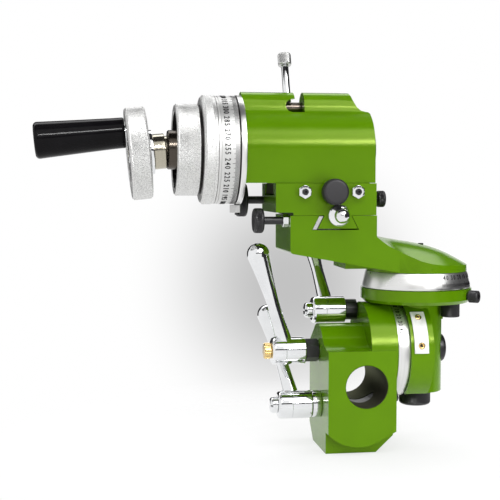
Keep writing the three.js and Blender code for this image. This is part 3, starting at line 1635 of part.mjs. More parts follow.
// Drawbar in its own leaning frame: zero where its axis crosses the spindle's
const drawShoulder = -(drawPivotInset + shoulderClearance);
const drawTubeLeft = drawShoulder - drawTubeLength;
const washerRight = drawTubeLeft - gap;
const wheelRight = washerRight - drawWasherWidth - gap;
const wheelLeft = wheelRight - wheelWidth;
const recessLeft = wheelLeft + wheelRecessDepth;
const handleRight = wheelLeft - handleFromWheel;
const studHoleRight = wheelLeft + wheelWidth * studHoleShare;

function drawTube() {
  const spigotLeft = recessLeft - wheelNutWidth;
  const inner = drawSpigotBore;
  const profile = [
    [inner, spigotLeft],
    [drawSpigotRadius, spigotLeft],
    [drawSpigotRadius, drawTubeLeft],
    [drawTubeRadius, drawTubeLeft],
    [drawTubeRadius, drawShoulder],
    [stubRadius, drawShoulder],
    [stubRadius, stubLength - drawPivotInset],
    [inner, stubLength - drawPivotInset],
    [inner, spigotLeft],
  ];
  return turned(profile, "x", [0, 0], bossFacets);
}

function handwheel() {
  const c = wheelChamfer;
  const rimInner = wheelRadius - wheelRimWall;
  const recessRight = wheelRight - wheelRecessDepth;
  const bore = drawSpigotRadius + gap;
  const profile = [
    [bore, recessLeft],
    [rimInner, recessLeft],
    [rimInner, wheelLeft],
    [wheelRadius - c, wheelLeft],
    [wheelRadius, wheelLeft + c],
    [wheelRadius, wheelRight - c],
    [wheelRadius - c, wheelRight],
    [rimInner, wheelRight],
    [rimInner, recessRight],
    [wheelHubRadius + wheelRecessDepth, recessRight],
    [wheelHubRadius + wheelRecessDepth, wheelRight],
    [bore, wheelRight],
    [bore, recessLeft],
  ];
  const studHole = rod(studRadius + gap, "x", wheelLeft - overrun, studHoleRight, [0, handleOffset]);
  return cut(turned(profile, "x", [0, 0], largeFacets), studHole);
}

function wheelNut() {
  const right = recessLeft - gap;
  return hexNut(wheelNutRadius, drawSpigotRadius + gap, "x", right - wheelNutWidth, right, [0, 0]);
}

function handleStud() {
  const profile = [
    [0, handleRight - studInsideHandle],
    [studRadius, handleRight - studInsideHandle],
    [studRadius, handleRight + gap],
    [studCollarRadius, handleRight + gap],
    [studCollarRadius, recessLeft - gap],
    [studRadius, recessLeft - gap],
    [studRadius, studHoleRight - gap],
    [0, studHoleRight - gap],
  ];
  return turned(profile, "x", [0, handleOffset], screwFacets);
}

function crankHandle() {
  const left = handleRight - handleLength;
  const [end, root, round] = [handleEndRadius, handleRootRadius, handleRounding];
  const bore = studRadius + gap;
  const blind = handleRight - studInsideHandle - gap;
  const profile = [
    [0, left],
    ...bend([end - round, left], [end, left], [end, left + round]),
    ...bend([root, handleRight - round], [root, handleRight], [root - round, handleRight]),
    [bore, handleRight],
    [bore, blind],
    [0, blind],
  ];
  return turned(profile, "x", [0, handleOffset], bossFacets);
}

function drawWasher() {
  const left = washerRight - drawWasherWidth;
  return tube(drawWasherRadius, drawSpigotRadius + gap, "x", left, washerRight, [0, 0]);
}

function drawbarGroup() {
  const group = new THREE.Group();
  group.add(
    part("draw_tube", drawTube(), greySteel),
    part("draw_washer", drawWasher(), brightSteel),
    part("handwheel", handwheel(), machinedAlloy),
    part("wheel_nut", wheelNut(), greySteel),
    part("handle_stud", handleStud(), brightSteel),
    part("crank_handle", crankHandle(), blackPlastic),
  );
  group.position.set(spindleLeft + drawPivotInset, 0, 0);
  group.rotation.y = -slackLean;
  return group;
}

const work = new THREE.Group();
work.name = "mill_grinder_work_head";
work.add(baseGroup(), knuckleGroup(), slideBaseGroup(), crossSlideGroup());
work.add(headGroup(), indexPlungerGroup(), spindleGroup());
work.position.set(-barX, -barY, -barZ);
work.updateMatrixWorld(true);
export default work;
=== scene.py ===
import json
import math

import bmesh
import bpy
from mathutils import Matrix, Vector

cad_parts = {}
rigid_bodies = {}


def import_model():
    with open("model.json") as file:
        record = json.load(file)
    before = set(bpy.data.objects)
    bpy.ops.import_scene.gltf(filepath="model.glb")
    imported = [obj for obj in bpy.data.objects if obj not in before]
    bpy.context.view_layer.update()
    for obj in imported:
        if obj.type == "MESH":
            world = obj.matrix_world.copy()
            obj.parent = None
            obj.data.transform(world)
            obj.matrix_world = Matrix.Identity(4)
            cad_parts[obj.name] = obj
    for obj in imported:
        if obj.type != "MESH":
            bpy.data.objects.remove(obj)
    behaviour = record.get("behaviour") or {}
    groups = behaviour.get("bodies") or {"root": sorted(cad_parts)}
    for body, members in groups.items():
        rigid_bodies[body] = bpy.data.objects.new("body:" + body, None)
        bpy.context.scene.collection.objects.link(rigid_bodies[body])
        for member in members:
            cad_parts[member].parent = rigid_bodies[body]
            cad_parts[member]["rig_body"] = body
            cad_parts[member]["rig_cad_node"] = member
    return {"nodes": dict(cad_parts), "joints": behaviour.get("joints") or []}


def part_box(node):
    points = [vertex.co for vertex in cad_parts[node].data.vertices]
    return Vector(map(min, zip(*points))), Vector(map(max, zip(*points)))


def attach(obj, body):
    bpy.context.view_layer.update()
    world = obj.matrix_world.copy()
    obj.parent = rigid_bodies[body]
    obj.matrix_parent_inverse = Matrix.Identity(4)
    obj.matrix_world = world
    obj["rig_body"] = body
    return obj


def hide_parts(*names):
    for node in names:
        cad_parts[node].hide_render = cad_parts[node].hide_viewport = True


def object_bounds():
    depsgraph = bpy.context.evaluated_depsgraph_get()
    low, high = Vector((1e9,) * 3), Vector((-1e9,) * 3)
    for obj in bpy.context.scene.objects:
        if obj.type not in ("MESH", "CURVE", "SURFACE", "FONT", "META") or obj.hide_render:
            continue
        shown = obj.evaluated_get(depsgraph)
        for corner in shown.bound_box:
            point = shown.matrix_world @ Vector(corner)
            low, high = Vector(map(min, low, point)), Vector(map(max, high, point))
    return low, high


bl_info = {
    "name": "End mill grinder work head",
    "version": (1, 0, 0),
    "blender": (4, 5, 0),
    "location": "3D View > Sidebar > Work Head",
    "description": "Finishes an end mill grinder's work head: castings, dials, knurled rings, levers",
    "category": "Add Mesh",
}

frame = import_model()
NODES = frame["nodes"]
JOINTS = {joint["name"]: joint for joint in frame["joints"]}
CAD_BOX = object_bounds()
MM = 0.001

# Axes in the frame, in millimetres: along X the (Y, Z) of each, and for the gib screws their height
HEAD_AXIS = (5, 210)
ROD_AXIS = (5, 248.5)
TILT_AXIS = (5, 27.4)
BAR_LEVER_AXIS = (-5, -20.5)
FLANGE_LEVER_AXIS = (23, 62.4)
THUMB_SCREW_AXIS = (-23, 147.4)
GIB_SCREWS_HEIGHT = 172.7

# Pitch of the knurl on the small black screws, as a share of the rings'
FINE_KNURL = 0.85


# Places and shaping


def seat(joint, along_row_axis=True):
    """The joint's axis as a place to build on: local Z runs along the axis.

    Along a row axis the height is then the row's own coordinate."""
    axis = Vector(JOINTS[joint]["axis"]).normalized()
    point = Vector(JOINTS[joint]["pos_m"])
    if along_row_axis:
        point -= axis * point.dot(axis)
    return Matrix.Translation(point) @ axis.to_track_quat("Z", "Y").to_matrix().to_4x4()


def line(direction, x=0.0, y=0.0, z=0.0):
    """A place on a line through a point in millimetres: local Z runs in the direction."""
    turn = Vector(direction).to_track_quat("Z", "Y").to_matrix().to_4x4()
    return Matrix.Translation(Vector((x, y, z)) * MM) @ turn


def along_x(axis, way=1):
    """The line of an axis along X, given by its (Y, Z), seen one way or the other."""
    return line((way, 0, 0), y=axis[0], z=axis[1])


def facing(point, across, upward):
    """A place in millimetres for a figure that reads in one direction and stands in the other."""
    across, upward = Vector(across).normalized(), Vector(upward).normalized()
    columns = (across, upward, across.cross(upward))
    turn = Matrix([[column[row] for column in columns] for row in range(3)]).to_4x4()
    return Matrix.Translation(Vector(point) * MM) @ turn


def deselect_all():
    if bpy.context.mode != "OBJECT":
        bpy.ops.object.mode_set(mode="OBJECT")
    bpy.ops.object.select_all(action="DESELECT")


def take(piece):
    """Selects one piece alone and makes it the active one."""
    deselect_all()
    piece.select_set(True)
    bpy.context.view_layer.objects.active = piece


def edit(piece):
    take(piece)
    bpy.ops.object.mode_set(mode="EDIT")
    bpy.ops.mesh.select_all(action="SELECT")


def leave_edit():
    bpy.ops.object.mode_set(mode="OBJECT")


def named(piece, name):
    piece.name = name
    piece.data.name = name
    return piece


def settle(piece, place=None):
    """Puts a piece at its place and applies it, so that its object ends at the origin."""
    take(piece)
    if place is not None:
        piece.matrix_world = place @ piece.matrix_world
    bpy.ops.object.transform_apply(location=True, rotation=True, scale=True)
    return piece


def apply_modifier(piece, kind, **values):
    take(piece)
    modifier = piece.modifiers.new(kind.lower(), kind)
    for key, value in values.items():
        setattr(modifier, key, value)
    bpy.ops.object.modifier_apply(modifier=modifier.name)


def round_edges(piece, width, segments=2, over=30):
    apply_modifier(
        piece,
        "BEVEL",
        width=width * MM,
        segments=segments,
        limit_method="ANGLE",
        angle_limit=math.radians(over),
    )


def smooth(piece, under=35):
    take(piece)
    bpy.ops.object.shade_smooth_by_angle(angle=math.radians(under))
    return piece


def weighted(piece):
    """Lets the large faces rule the shading at their rounded edges."""
    apply_modifier(piece, "WEIGHTED_NORMAL", keep_sharp=True, weight=80)


def turned(name, profile, place, steps=96, edge=0.35):
    """Turns a profile of (radius, height) points in millimetres about the place's local Z."""
    deselect_all()
    bpy.ops.mesh.primitive_plane_add(size=MM, location=(0, 0, 0))
    piece = named(bpy.context.object, name)
    edit(piece)
    bpy.ops.mesh.merge(type="CENTER")
    last = (0, 0)
    for count, (radius, height) in enumerate(profile):
        move = ((radius - last[0]) * MM, 0, (height - last[1]) * MM)
        if count == 0:
            bpy.ops.transform.translate(value=move)
        else:
            bpy.ops.mesh.extrude_vertices_move(TRANSFORM_OT_translate={"value": move})
        last = (radius, height)
    bpy.ops.mesh.select_all(action="SELECT")
    bpy.ops.mesh.spin(steps=steps, angle=2 * math.pi, center=(0, 0, 0), axis=(0, 0, 1))
    bpy.ops.mesh.select_all(action="SELECT")
    bpy.ops.mesh.remove_doubles(threshold=MM / 1000)
    bpy.ops.mesh.normals_make_consistent(inside=False)
    leave_edit()
    if edge:
        round_edges(piece, edge)
    settle(piece, place)
    smooth(piece)
    return piece


def rounded(centre, radius, start, end, steps=6):
    """Points of an arc in a profile, from one angle to another in degrees."""
    points = []
    for step in range(steps + 1):
        turn = math.radians(start + (end - start) * step / steps)
        points.append((centre[0] + radius * math.cos(turn), centre[1] + radius * math.sin(turn)))
    return points


def rows(radius, low, high, pitch):
    """Profile points up a straight band, close enough together to be knurled."""
    count = max(2, round((high - low) / pitch))
    return [(radius, low + (high - low) * step / count) for step in range(count + 1)]


def pick(piece, wanted):
    """Selects the vertices for which wanted(x, y, z in mm) holds, in edit mode."""
    edit(piece)
    bpy.ops.mesh.select_mode(type="VERT")
    mesh = bmesh.from_edit_mesh(piece.data)
    for vertex in mesh.verts:
        vertex.select = bool(wanted(vertex.co / MM))
    mesh.select_flush_mode()
    bmesh.update_edit_mesh(piece.data)


def knurl(piece, radius, low, high, steps, pitch, depth):
    """Sinks every other crossing of a turned band, so that crossed ridges stand between them."""

    def sunk(point):
        if not low + pitch / 2 < point.z < high - pitch / 2:
            return False
        if abs(math.hypot(point.x, point.y) - radius) > pitch / 4:
            return False
        column = round(math.atan2(point.y, point.x) / (2 * math.pi) * steps)
        row = round((point.z - low) / pitch)
        return (column + row) % 2 == 0

    pick(piece, sunk)
    bpy.ops.transform.shrink_fatten(value=-depth * MM)
    leave_edit()


def knurled(name, before, band, after, place, pitch_share=1, depth_share=1):
    """A turned piece whose band (radius, low, high) has a diamond knurl, between two profile parts."""
    sizes = bpy.context.scene.work_head_sizes
    pitch, depth = sizes.knurl_pitch / MM * pitch_share, sizes.knurl_depth / MM * depth_share
    radius, low, high = band
    steps = 2 * round(math.pi * radius / pitch)
    count = max(2, round((high - low) / pitch))
    piece = turned(name, before + rows(radius, low, high, pitch) + after, Matrix(), steps, 0)
    knurl(piece, radius, low, high, steps, (high - low) / count, depth)
    settle(piece, place)
    take(piece)
    bpy.ops.object.shade_flat()
    return piece


def prism(name, corners, corner_radius, low, high, place=None, turn=0.0):
    """A straight prism round local Z, with its first corner on local Y."""
    deselect_all()
    bpy.ops.mesh.primitive_cylinder_add(
        vertices=corners,
        radius=corner_radius * MM,
        depth=(high - low) * MM,
        location=(0, 0, (low + high) / 2 * MM),
        rotation=(0, 0, math.radians(turn)),
    )
    return settle(named(bpy.context.object, name), place)


def bar(name, low, high, place=None):
    """A square-edged bar between two corners in millimetres."""
    deselect_all()
    middle = [(first + last) / 2 * MM for first, last in zip(low, high)]
    bpy.ops.mesh.primitive_cube_add(size=1, location=middle)
    piece = named(bpy.context.object, name)
    piece.scale = [(last - first) * MM for first, last in zip(low, high)]
    return settle(piece, place)


def combine(piece, operation, *tools):
    """Joins, cuts or trims a piece by others, which are used up."""
    for tool in tools:
        take(piece)
        modifier = piece.modifiers.new("combine", "BOOLEAN")
        modifier.operation = operation
        modifier.solver = "EXACT"
        modifier.object = tool
        bpy.ops.object.modifier_apply(modifier=modifier.name)
        take(tool)
        bpy.ops.object.delete()
    return piece


def hex_nut(name, corner_radius, bore, low, high, place):
    """A hexagon nut with its corners turned off at both ends."""
    flat = corner_radius * math.cos(math.pi / 6)
    fall = (corner_radius - flat) * 0.75
    over = corner_radius * 1.01
    nut = prism(name, 6, corner_radius, low, high)
    trim = turned(
        "trim",
        [(0, low), (flat, low), (over, low + fall), (over, high - fall), (flat, high), (0, high)],
        Matrix(), 72, 0,
    )
    combine(nut, "INTERSECT", trim)
    combine(nut, "DIFFERENCE", prism("bore", 36, bore, low - 1, high + 1))
    round_edges(nut, 0.1, 1)
    settle(nut, place)
    smooth(nut, 20)
    return nut


def hex_socket(piece, across, mouth, floor, place):
    """Sinks a hexagon socket from a screw's end face to a floor inside it."""
    low, high = sorted((mouth, floor))
    return combine(piece, "DIFFERENCE", prism("socket", 6, across, low, high, place))


def like(node, name):
    """A merged copy of a CAD node, to be given its cast or machined edges."""
    source = NODES[node]
    take(source)
    bpy.ops.object.duplicate()
    piece = named(bpy.context.object, name)
    piece.parent = None
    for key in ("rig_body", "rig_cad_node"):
        if key in piece:
            del piece[key]
    edit(piece)
    bpy.ops.mesh.remove_doubles(threshold=MM / 1000)
    bpy.ops.mesh.dissolve_limited(angle_limit=math.radians(0.6))
    leave_edit()
    return piece


def dress(piece, finish, slot, node=None, body=None):
    """Gives a piece its finish and its body, and hides the CAD node that it stands for."""
    piece.data.materials.clear()
    piece.data.materials.append(FINISH[finish])
    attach(piece, body or NODES[node]["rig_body"])
    if node:
        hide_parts(node)
    return piece


def lathe(name, profile, place, steps, edge, *looks):
    return dress(turned(name, profile, place, steps, edge), *looks)


def dressed_copy(node, name, finish, slot, edge, segments=2):
    """A CAD node's copy with rounded edges."""
    piece = like(node, name)
    round_edges(piece, edge, segments)
    smooth(piece)
    weighted(piece)
    return dress(piece, finish, slot, node)


def repaint(finish, *nodes):
    for node in nodes:
        NODES[node].data.materials.clear()
        NODES[node].data.materials.append(FINISH[finish])


def join(name, pieces):
    deselect_all()
    for piece in pieces:
        piece.select_set(True)
    bpy.context.view_layer.objects.active = pieces[0]
    bpy.ops.object.join()
    return named(bpy.context.object, name)


# Finishes


def add(tree, kind, inputs=None, **settings):
    """One shader node, with its settings and its inputs set or linked."""
    node = tree.nodes.new("ShaderNode" + kind)
    for key, value in settings.items():
        setattr(node, key, value)
    for key, value in (inputs or {}).items():
        if isinstance(value, bpy.types.NodeSocket):
            tree.links.new(value, node.inputs[key])
        else:
            node.inputs[key].default_value = value
    return node


def new_finish(name, **fixed):
    """A material with one shader, whose fixed values are set on its own sockets."""
    finish = bpy.data.materials.new(name)
    finish.use_nodes = True
    tree = finish.node_tree
    tree.nodes.clear()
    shader = add(tree, "BsdfPrincipled", fixed)
    output = add(tree, "OutputMaterial")
    tree.links.new(shader.outputs["BSDF"], output.inputs["Surface"])
    return finish, tree, shader


def place_on(tree, place=None):
    """Object coordinates, seen from a piece's own place."""
    coordinates = add(tree, "TexCoord").outputs["Object"]
    if place is None:
        return coordinates
    mapping = add(tree, "Mapping", {"Vector": coordinates}, vector_type="TEXTURE")
    mapping.inputs["Location"].default_value = place.to_translation()
    mapping.inputs["Rotation"].default_value = place.to_euler()
    return mapping.outputs["Vector"]


def noise(tree, where, scale, detail=2.0, roughness=0.5):
    return add(
        tree,
        "TexNoise",
        {"Vector": where, "Scale": scale, "Detail": detail, "Roughness": roughness},
    ).outputs["Fac"]


def calculate(tree, operation, first, second=0.0):
    return add(tree, "Math", {0: first, 1: second}, operation=operation).outputs[0]


def spread(tree, value, low, high, to_low, to_high):
    """Stretches a value's range from low to high onto another one, and stops at its ends."""
    return add(
        tree,
        "MapRange",
        {"Value": value, "From Min": low, "From Max": high, "To Min": to_low, "To Max": to_high},
    ).outputs[0]


def mix_colour(tree, share, first, second):
    inputs = {0: share, 6: first, 7: second}
    return add(tree, "Mix", inputs, data_type="RGBA").outputs[2]


def mix_value(tree, share, first, second):
    inputs = {0: share, 2: first, 3: second}
    return add(tree, "Mix", inputs, data_type="FLOAT").outputs[0]


def bump(tree, height, strength, distance, below=None):
    inputs = {"Height": height, "Strength": strength, "Distance": distance}
    if below is not None:
        inputs["Normal"] = below
    return add(tree, "Bump", inputs).outputs["Normal"]


def tone(colour, factor):
    return tuple(min(1.0, part * factor) for part in colour[:3]) + (1.0,)


def split(tree, where):
    return add(tree, "SeparateXYZ", {"Vector": where}).outputs


def squares(tree, first, second):
    return calculate(tree, "ADD", calculate(tree, "MULTIPLY", first, first),
                     calculate(tree, "MULTIPLY", second, second))


def wire(tree, shader, colour, rough, relief):
    """Links what a finish has worked out to its shader."""
    for name, value in (("Base Color", colour), ("Roughness", rough), ("Normal", relief)):
        tree.links.new(value, shader.inputs[name])


def enamel(name, colour, bare=None):
    """Gloss enamel over a cast surface, with orange peel, uneven tone and iron where it is bare."""
    finish, tree, shader = new_finish(
        name, **{"Specular Tint": (0.85, 1.0, 0.25, 1), "Specular IOR Level": 0.5}
    )
    where = place_on(tree)
    peel = noise(tree, where, 950, 3)
    cast = noise(tree, where, 210, 3)
    patches = spread(tree, noise(tree, where, 28, 2), 0.35, 0.65, 0, 1)
    paint = mix_colour(tree, patches, tone(colour, 0.95), tone(colour, 1.05))
    paint = mix_colour(tree, spread(tree, peel, 0.3, 0.7, 0, 0.3), paint, tone(colour, 1.1))
    rough = spread(tree, cast, 0.3, 0.7, 0.13, 0.2)
    relief = bump(tree, peel, 0.65, 0.11 * MM, bump(tree, cast, 0.15, 0.2 * MM))
    if bare is not None:
        share = bare(tree, where)
        grain = spread(tree, peel, 0.3, 0.7, 0, 1)
        iron = mix_colour(tree, grain, (0.018, 0.014, 0.015, 1), (0.04, 0.033, 0.034, 1))
        paint = mix_colour(tree, share, paint, iron)
        rough = mix_value(tree, share, rough, 0.6)
        tree.links.new(mix_value(tree, share, 0.0, 0.3), shader.inputs["Metallic"])
    wire(tree, shader, paint, rough, relief)
    return finish


def turned_metal(name, colour, place, rough=0.3, grooves=2600, speckle=0.0, painted_shade_hollows=()):
    """Metal off the lathe: fine rings round the piece's own axis and a little dullness in patches.

    A hollow between two heights and inside a radius, all in millimetres, is painted dark: painted shade
    where the gap or recess lies in shadow."""
    finish, tree, shader = new_finish(name, Metallic=1.0)
    where = place_on(tree, place)
    x, y, height = split(tree, where)
    radius = calculate(tree, "SQRT", squares(tree, x, y))
    cut = add(tree, "CombineXYZ", {0: radius, 1: height, 2: 0.0}).outputs[0]
    marks = noise(tree, cut, grooves, 2)
    dull = noise(tree, where, 60, 3)
    grit = noise(tree, where, 1000, 2)
    tint = mix_colour(tree, spread(tree, marks, 0.3, 0.7, 0, 1), tone(colour, 0.93), tone(colour, 1.04))
    tint = mix_colour(tree, spread(tree, grit, 0.42, 0.7, 0, speckle), tint, tone(colour, 0.45))
    # Painted shade: each listed hollow is darkened to near black, standing in for the shadow in a gap
    # or recess
    for low, high, reach in painted_shade_hollows:
        shade_mask = calculate(tree, "GREATER_THAN", height, low * MM)
        for value, limit in ((height, high), (radius, reach)):
            inside = calculate(tree, "LESS_THAN", value, limit * MM)
            shade_mask = calculate(tree, "MULTIPLY", shade_mask, inside)
        tint = mix_colour(tree, shade_mask, tint, (0.02, 0.018, 0.018, 1))
    relief = bump(tree, marks, 0.6, 0.02 * MM)
    if speckle:
        relief = bump(tree, grit, 0.6, 0.06 * MM, relief)
    wire(tree, shader, tint, spread(tree, dull, 0.3, 0.7, rough * 0.85, rough * 1.2), relief)
    return finish


def plated(name, colour, rough=0.05):
    """Chrome plate: a deep polish with faint ripples and dulled patches."""
    finish, tree, shader = new_finish(name, Metallic=1.0)
    where = place_on(tree)
    ripple = noise(tree, where, 110, 2)
    haze = noise(tree, where, 45, 4)
    tint = mix_colour(tree, spread(tree, haze, 0.4, 0.7, 0, 1), tone(colour, 1.0), tone(colour, 0.9))
    dull = spread(tree, haze, 0.35, 0.75, rough, rough * 2.4)
    wire(tree, shader, tint, dull, bump(tree, ripple, 0.12, 0.25 * MM))
    return finish


def moulded(name, colour, rough, grain, depth, gloss=0.5):
    """Moulded plastic with a fine skin and a few duller marks."""
    finish, tree, shader = new_finish(name, **{"Specular IOR Level": gloss})
    where = place_on(tree)
    skin = noise(tree, where, grain, 3)
    marks = noise(tree, where, 55, 4, 0.6)
    tint = mix_colour(tree, spread(tree, marks, 0.4, 0.7, 0, 1), tone(colour, 0.9), tone(colour, 1.35))
    dull = spread(tree, marks, 0.35, 0.7, rough * 0.85, rough * 1.25)
    wire(tree, shader, tint, dull, bump(tree, skin, 0.5, depth * MM))
    return finish


FINISH = {}


def make_finishes(colours):
    green, alloy, chrome, steel, nickel, black, brass = (
        (*getattr(colours, name), 1)
        for name in ("enamel", "alloy", "chrome", "steel", "nickel", "black", "brass")
    )
    spindle = seat("spindle_turn")
    drawbar = seat("drawbar_turn", False)

    # Bare places: the wall of the bar bore, the head's tongue and the cross slide's dark tail slot
    def in_bar_bore(tree, where):
        x, _, z = split(tree, where)
        return calculate(tree, "LESS_THAN", squares(tree, x, z), (19.25 * MM) ** 2)

    def below_head(tree, where):
        return calculate(tree, "LESS_THAN", split(tree, where)[2], 180.1 * MM)

    def behind_tail_face(tree, where):
        _, y, z = split(tree, where)
        low = calculate(tree, "LESS_THAN", z, 151.6 * MM)
        return calculate(tree, "MULTIPLY", low, calculate(tree, "GREATER_THAN", y, -32.6 * MM))

    for name, bare in (
        ("block enamel", in_bar_bore),
        ("head enamel", below_head),
        ("cross slide enamel", behind_tail_face),
        ("enamel", None),
    ):
        FINISH[name] = enamel(name, green, bare)
    # Painted shade: the gap at the dial's lip, and the lock ring's groove and rear recess, are darkened
    # as if in shadow
    dial_lip_shade = [(-113.4, -112, 60)]
    lock_ring_shade = [(-146.2, -143, 40.6), (-166.2, -158.2, 34.1)]
    for name, colour, place, rough, more in (
        ("dial alloy", tone(alloy, 0.86), spindle, 0.46, {"painted_shade_hollows": dial_lip_shade}),
        ("front ring alloy", alloy, spindle, 0.3, {}),
        ("lock ring alloy", alloy, spindle, 0.46, {"speckle": 0.6, "painted_shade_hollows": lock_ring_shade}),
        ("ring alloy", alloy, spindle, 0.44, {"speckle": 0.6}),
        ("wheel alloy", alloy, drawbar, 0.48, {"speckle": 0.7}),
        ("tilt alloy", alloy, seat("knuckle_tilt"), 0.34, {}),
        ("swivel alloy", alloy, seat("swivel_turn"), 0.3, {}),
        ("draw tube nickel", nickel, drawbar, 0.16, {"grooves": 1800}),
        ("spindle steel", steel, spindle, 0.22, {}),
        ("ground steel", tone(alloy, 0.72), spindle, 0.3, {"grooves": 1500}),
        ("index steel", tone(steel, 1.5), spindle, 0.25, {"grooves": 1500}),
        ("knurled chrome", tone(alloy, 0.75), None, 0.3, {}),
        ("brass", brass, seat("tilt_clamp_turn"), 0.2, {}),
    ):
        FINISH[name] = turned_metal(name, colour, place, rough, **more)
    FINISH["chrome"] = plated("chrome", chrome)
    for name, colour, rough, grain, depth, gloss in (
        ("handle black", tone(black, 0.5), 0.13, 500, 0.008, 0.1),
        ("knob black", tone(black, 1.2), 0.5, 1400, 0.05, 0.5),
        ("screw black", tone(black, 1.1), 0.42, 1200, 0.04, 0.5),
        ("blackened steel", tone(black, 0.9), 0.34, 900, 0.03, 0.5),
        ("plate", (0.80, 0.80, 0.79, 1), 0.38, 900, 0.01, 0.5),
        ("ink", tone(black, 0.8), 0.6, 1200, 0.01, 0.1),
    ):
        FINISH[name] = moulded(name, colour, rough, grain, depth, gloss)


def length(name, description, default):
    return bpy.props.FloatProperty(name=name, description=description, default=default, unit="LENGTH")


def colour(name, description, default):
    return bpy.props.FloatVectorProperty(
        name=name, description=description, default=default, subtype="COLOR"
    )


class WorkHeadSizes(bpy.types.PropertyGroup):
    cast_edge: length("Cast edge", "Rounding of the castings' edges", 0.0009)
    knurl_pitch: length("Knurl pitch", "Half the width of one diamond of the knurl", 0.0008)
    knurl_depth: length("Knurl depth", "Depth of the knurl's grooves", 0.0003)
    figure_height: length("Figure height", "Height of the dial's figures", 0.0048)
    floor_radius: length("Floor radius", "Radius of the studio floor", 3.0)


class WorkHeadColours(bpy.types.PropertyGroup):
    enamel: colour("Enamel", "Paint of the castings", (0.088, 0.215, 0.001))
    alloy: colour("Alloy", "Turned aluminium", (0.78, 0.78, 0.77))
    chrome: colour("Chrome", "Plated levers", (0.82, 0.83, 0.84))
    steel: colour("Steel", "Ground steel", (0.085, 0.072, 0.06))
    nickel: colour("Nickel", "Draw tube", (0.46, 0.43, 0.35))
    black: colour("Black", "Handle and knobs", (0.011, 0.010, 0.012))
    brass: colour("Brass", "End screw and rivets", (0.76, 0.56, 0.25))


class WORKHEAD_OT_castings(bpy.types.Operator):
    """Rounds the painted castings' edges and paints them"""

    bl_idname = "workhead.castings"
    bl_label = "Castings"

    def execute(self, context):
        make_finishes(context.scene.work_head_colours)
        edge = context.scene.work_head_sizes.cast_edge / MM
        for node, name, finish in (
            ("base_casting", "bar_block", "block enamel"),
            ("knuckle_casting", "knuckle", "enamel"),
            ("slide_base", "lower_slide", "enamel"),
            ("cross_slide", "upper_slide", "cross slide enamel"),
            ("head_casting", "spindle_head", "head enamel"),
        ):
            dressed_copy(node, name, finish, "green_paint", edge)
        return {"FINISHED"}


class WORKHEAD_OT_spindle(bpy.types.Operator):
    """Turns the spindle, its graduated dial and its knurled rings"""

    bl_idname = "workhead.spindle"
    bl_label = "Spindle and rings"

    def execute(self, context):
        place = seat("spindle_turn")
        lathe(
            "dial",
            [(23.3, -131.3), (48.2, -131.3), (48.2, -129.6), (47.6, -129.5), (47.6, -129.0),
             (48.2, -128.9), (48.2, -113.4), (46.8, -113.3), (46.8, -112.4), (44, -112.4),
             (44, -127.1), (23.3, -127.1), (23.3, -131.3)],
            place, 192, 0.15, "dial alloy", "machined_alloy", "graduated_dial",
        )
        plain = knurled(
            "plain_ring",
            [(23.3, -131.6), (23.3, -143.6), (46.6, -143.6)],
            (48.6, -141.6, -134.4),
            [(48.2, -134.1), (48.2, -131.9), (47.9, -131.6), (23.3, -131.6)],
            place, 1, 0.6,
        )
        dress(plain, "ring alloy", "machined_alloy", "flange_ring")
        lock = knurled(
            "knurled_lock_ring",
            [(23.3, -143.9), (23.3, -155), (17.8, -155), (17.8, -158.4), (33.6, -158.4), (34, -158.0),
             (34, -165.8), (34.6, -166.4), (39.6, -166.4)],
            (40.8, -165.2, -146.4),
            [(39.9, -146.2), (39.9, -143.9), (23.3, -143.9)],
            place,
        )
        dress(lock, "lock ring alloy", "machined_alloy", "lock_ring")
        front = turned(
            "front_ring",
            [(23.3, -112.1), (48.9, -112.1), (48.9, -107.3), (23.3, -107.3), (23.3, -112.1)],
            place, 192, 0.5,
        )
        rod = prism("rod_hole", 48, 5, -113, -106, along_x(ROD_AXIS))
        smooth(combine(front, "DIFFERENCE", rod))
        dress(front, "front ring alloy", "machined_alloy", "fixed_ring")
        lathe(
            "spindle_tube",
            [(14.5, -172.7), (16.6, -172.7), (17.5, -171.8), (17.5, -154.7), (23, -154.7), (23, 9.3),
             (24.5, 9.3), (24.5, 11.6), (23.4, 12.8), (18, 12.8), (14.5, -1.2), (14.5, -172.7)],
            place, 128, 0.2, "spindle steel", "grey_steel", "spindle",
        )
        return {"FINISHED"}


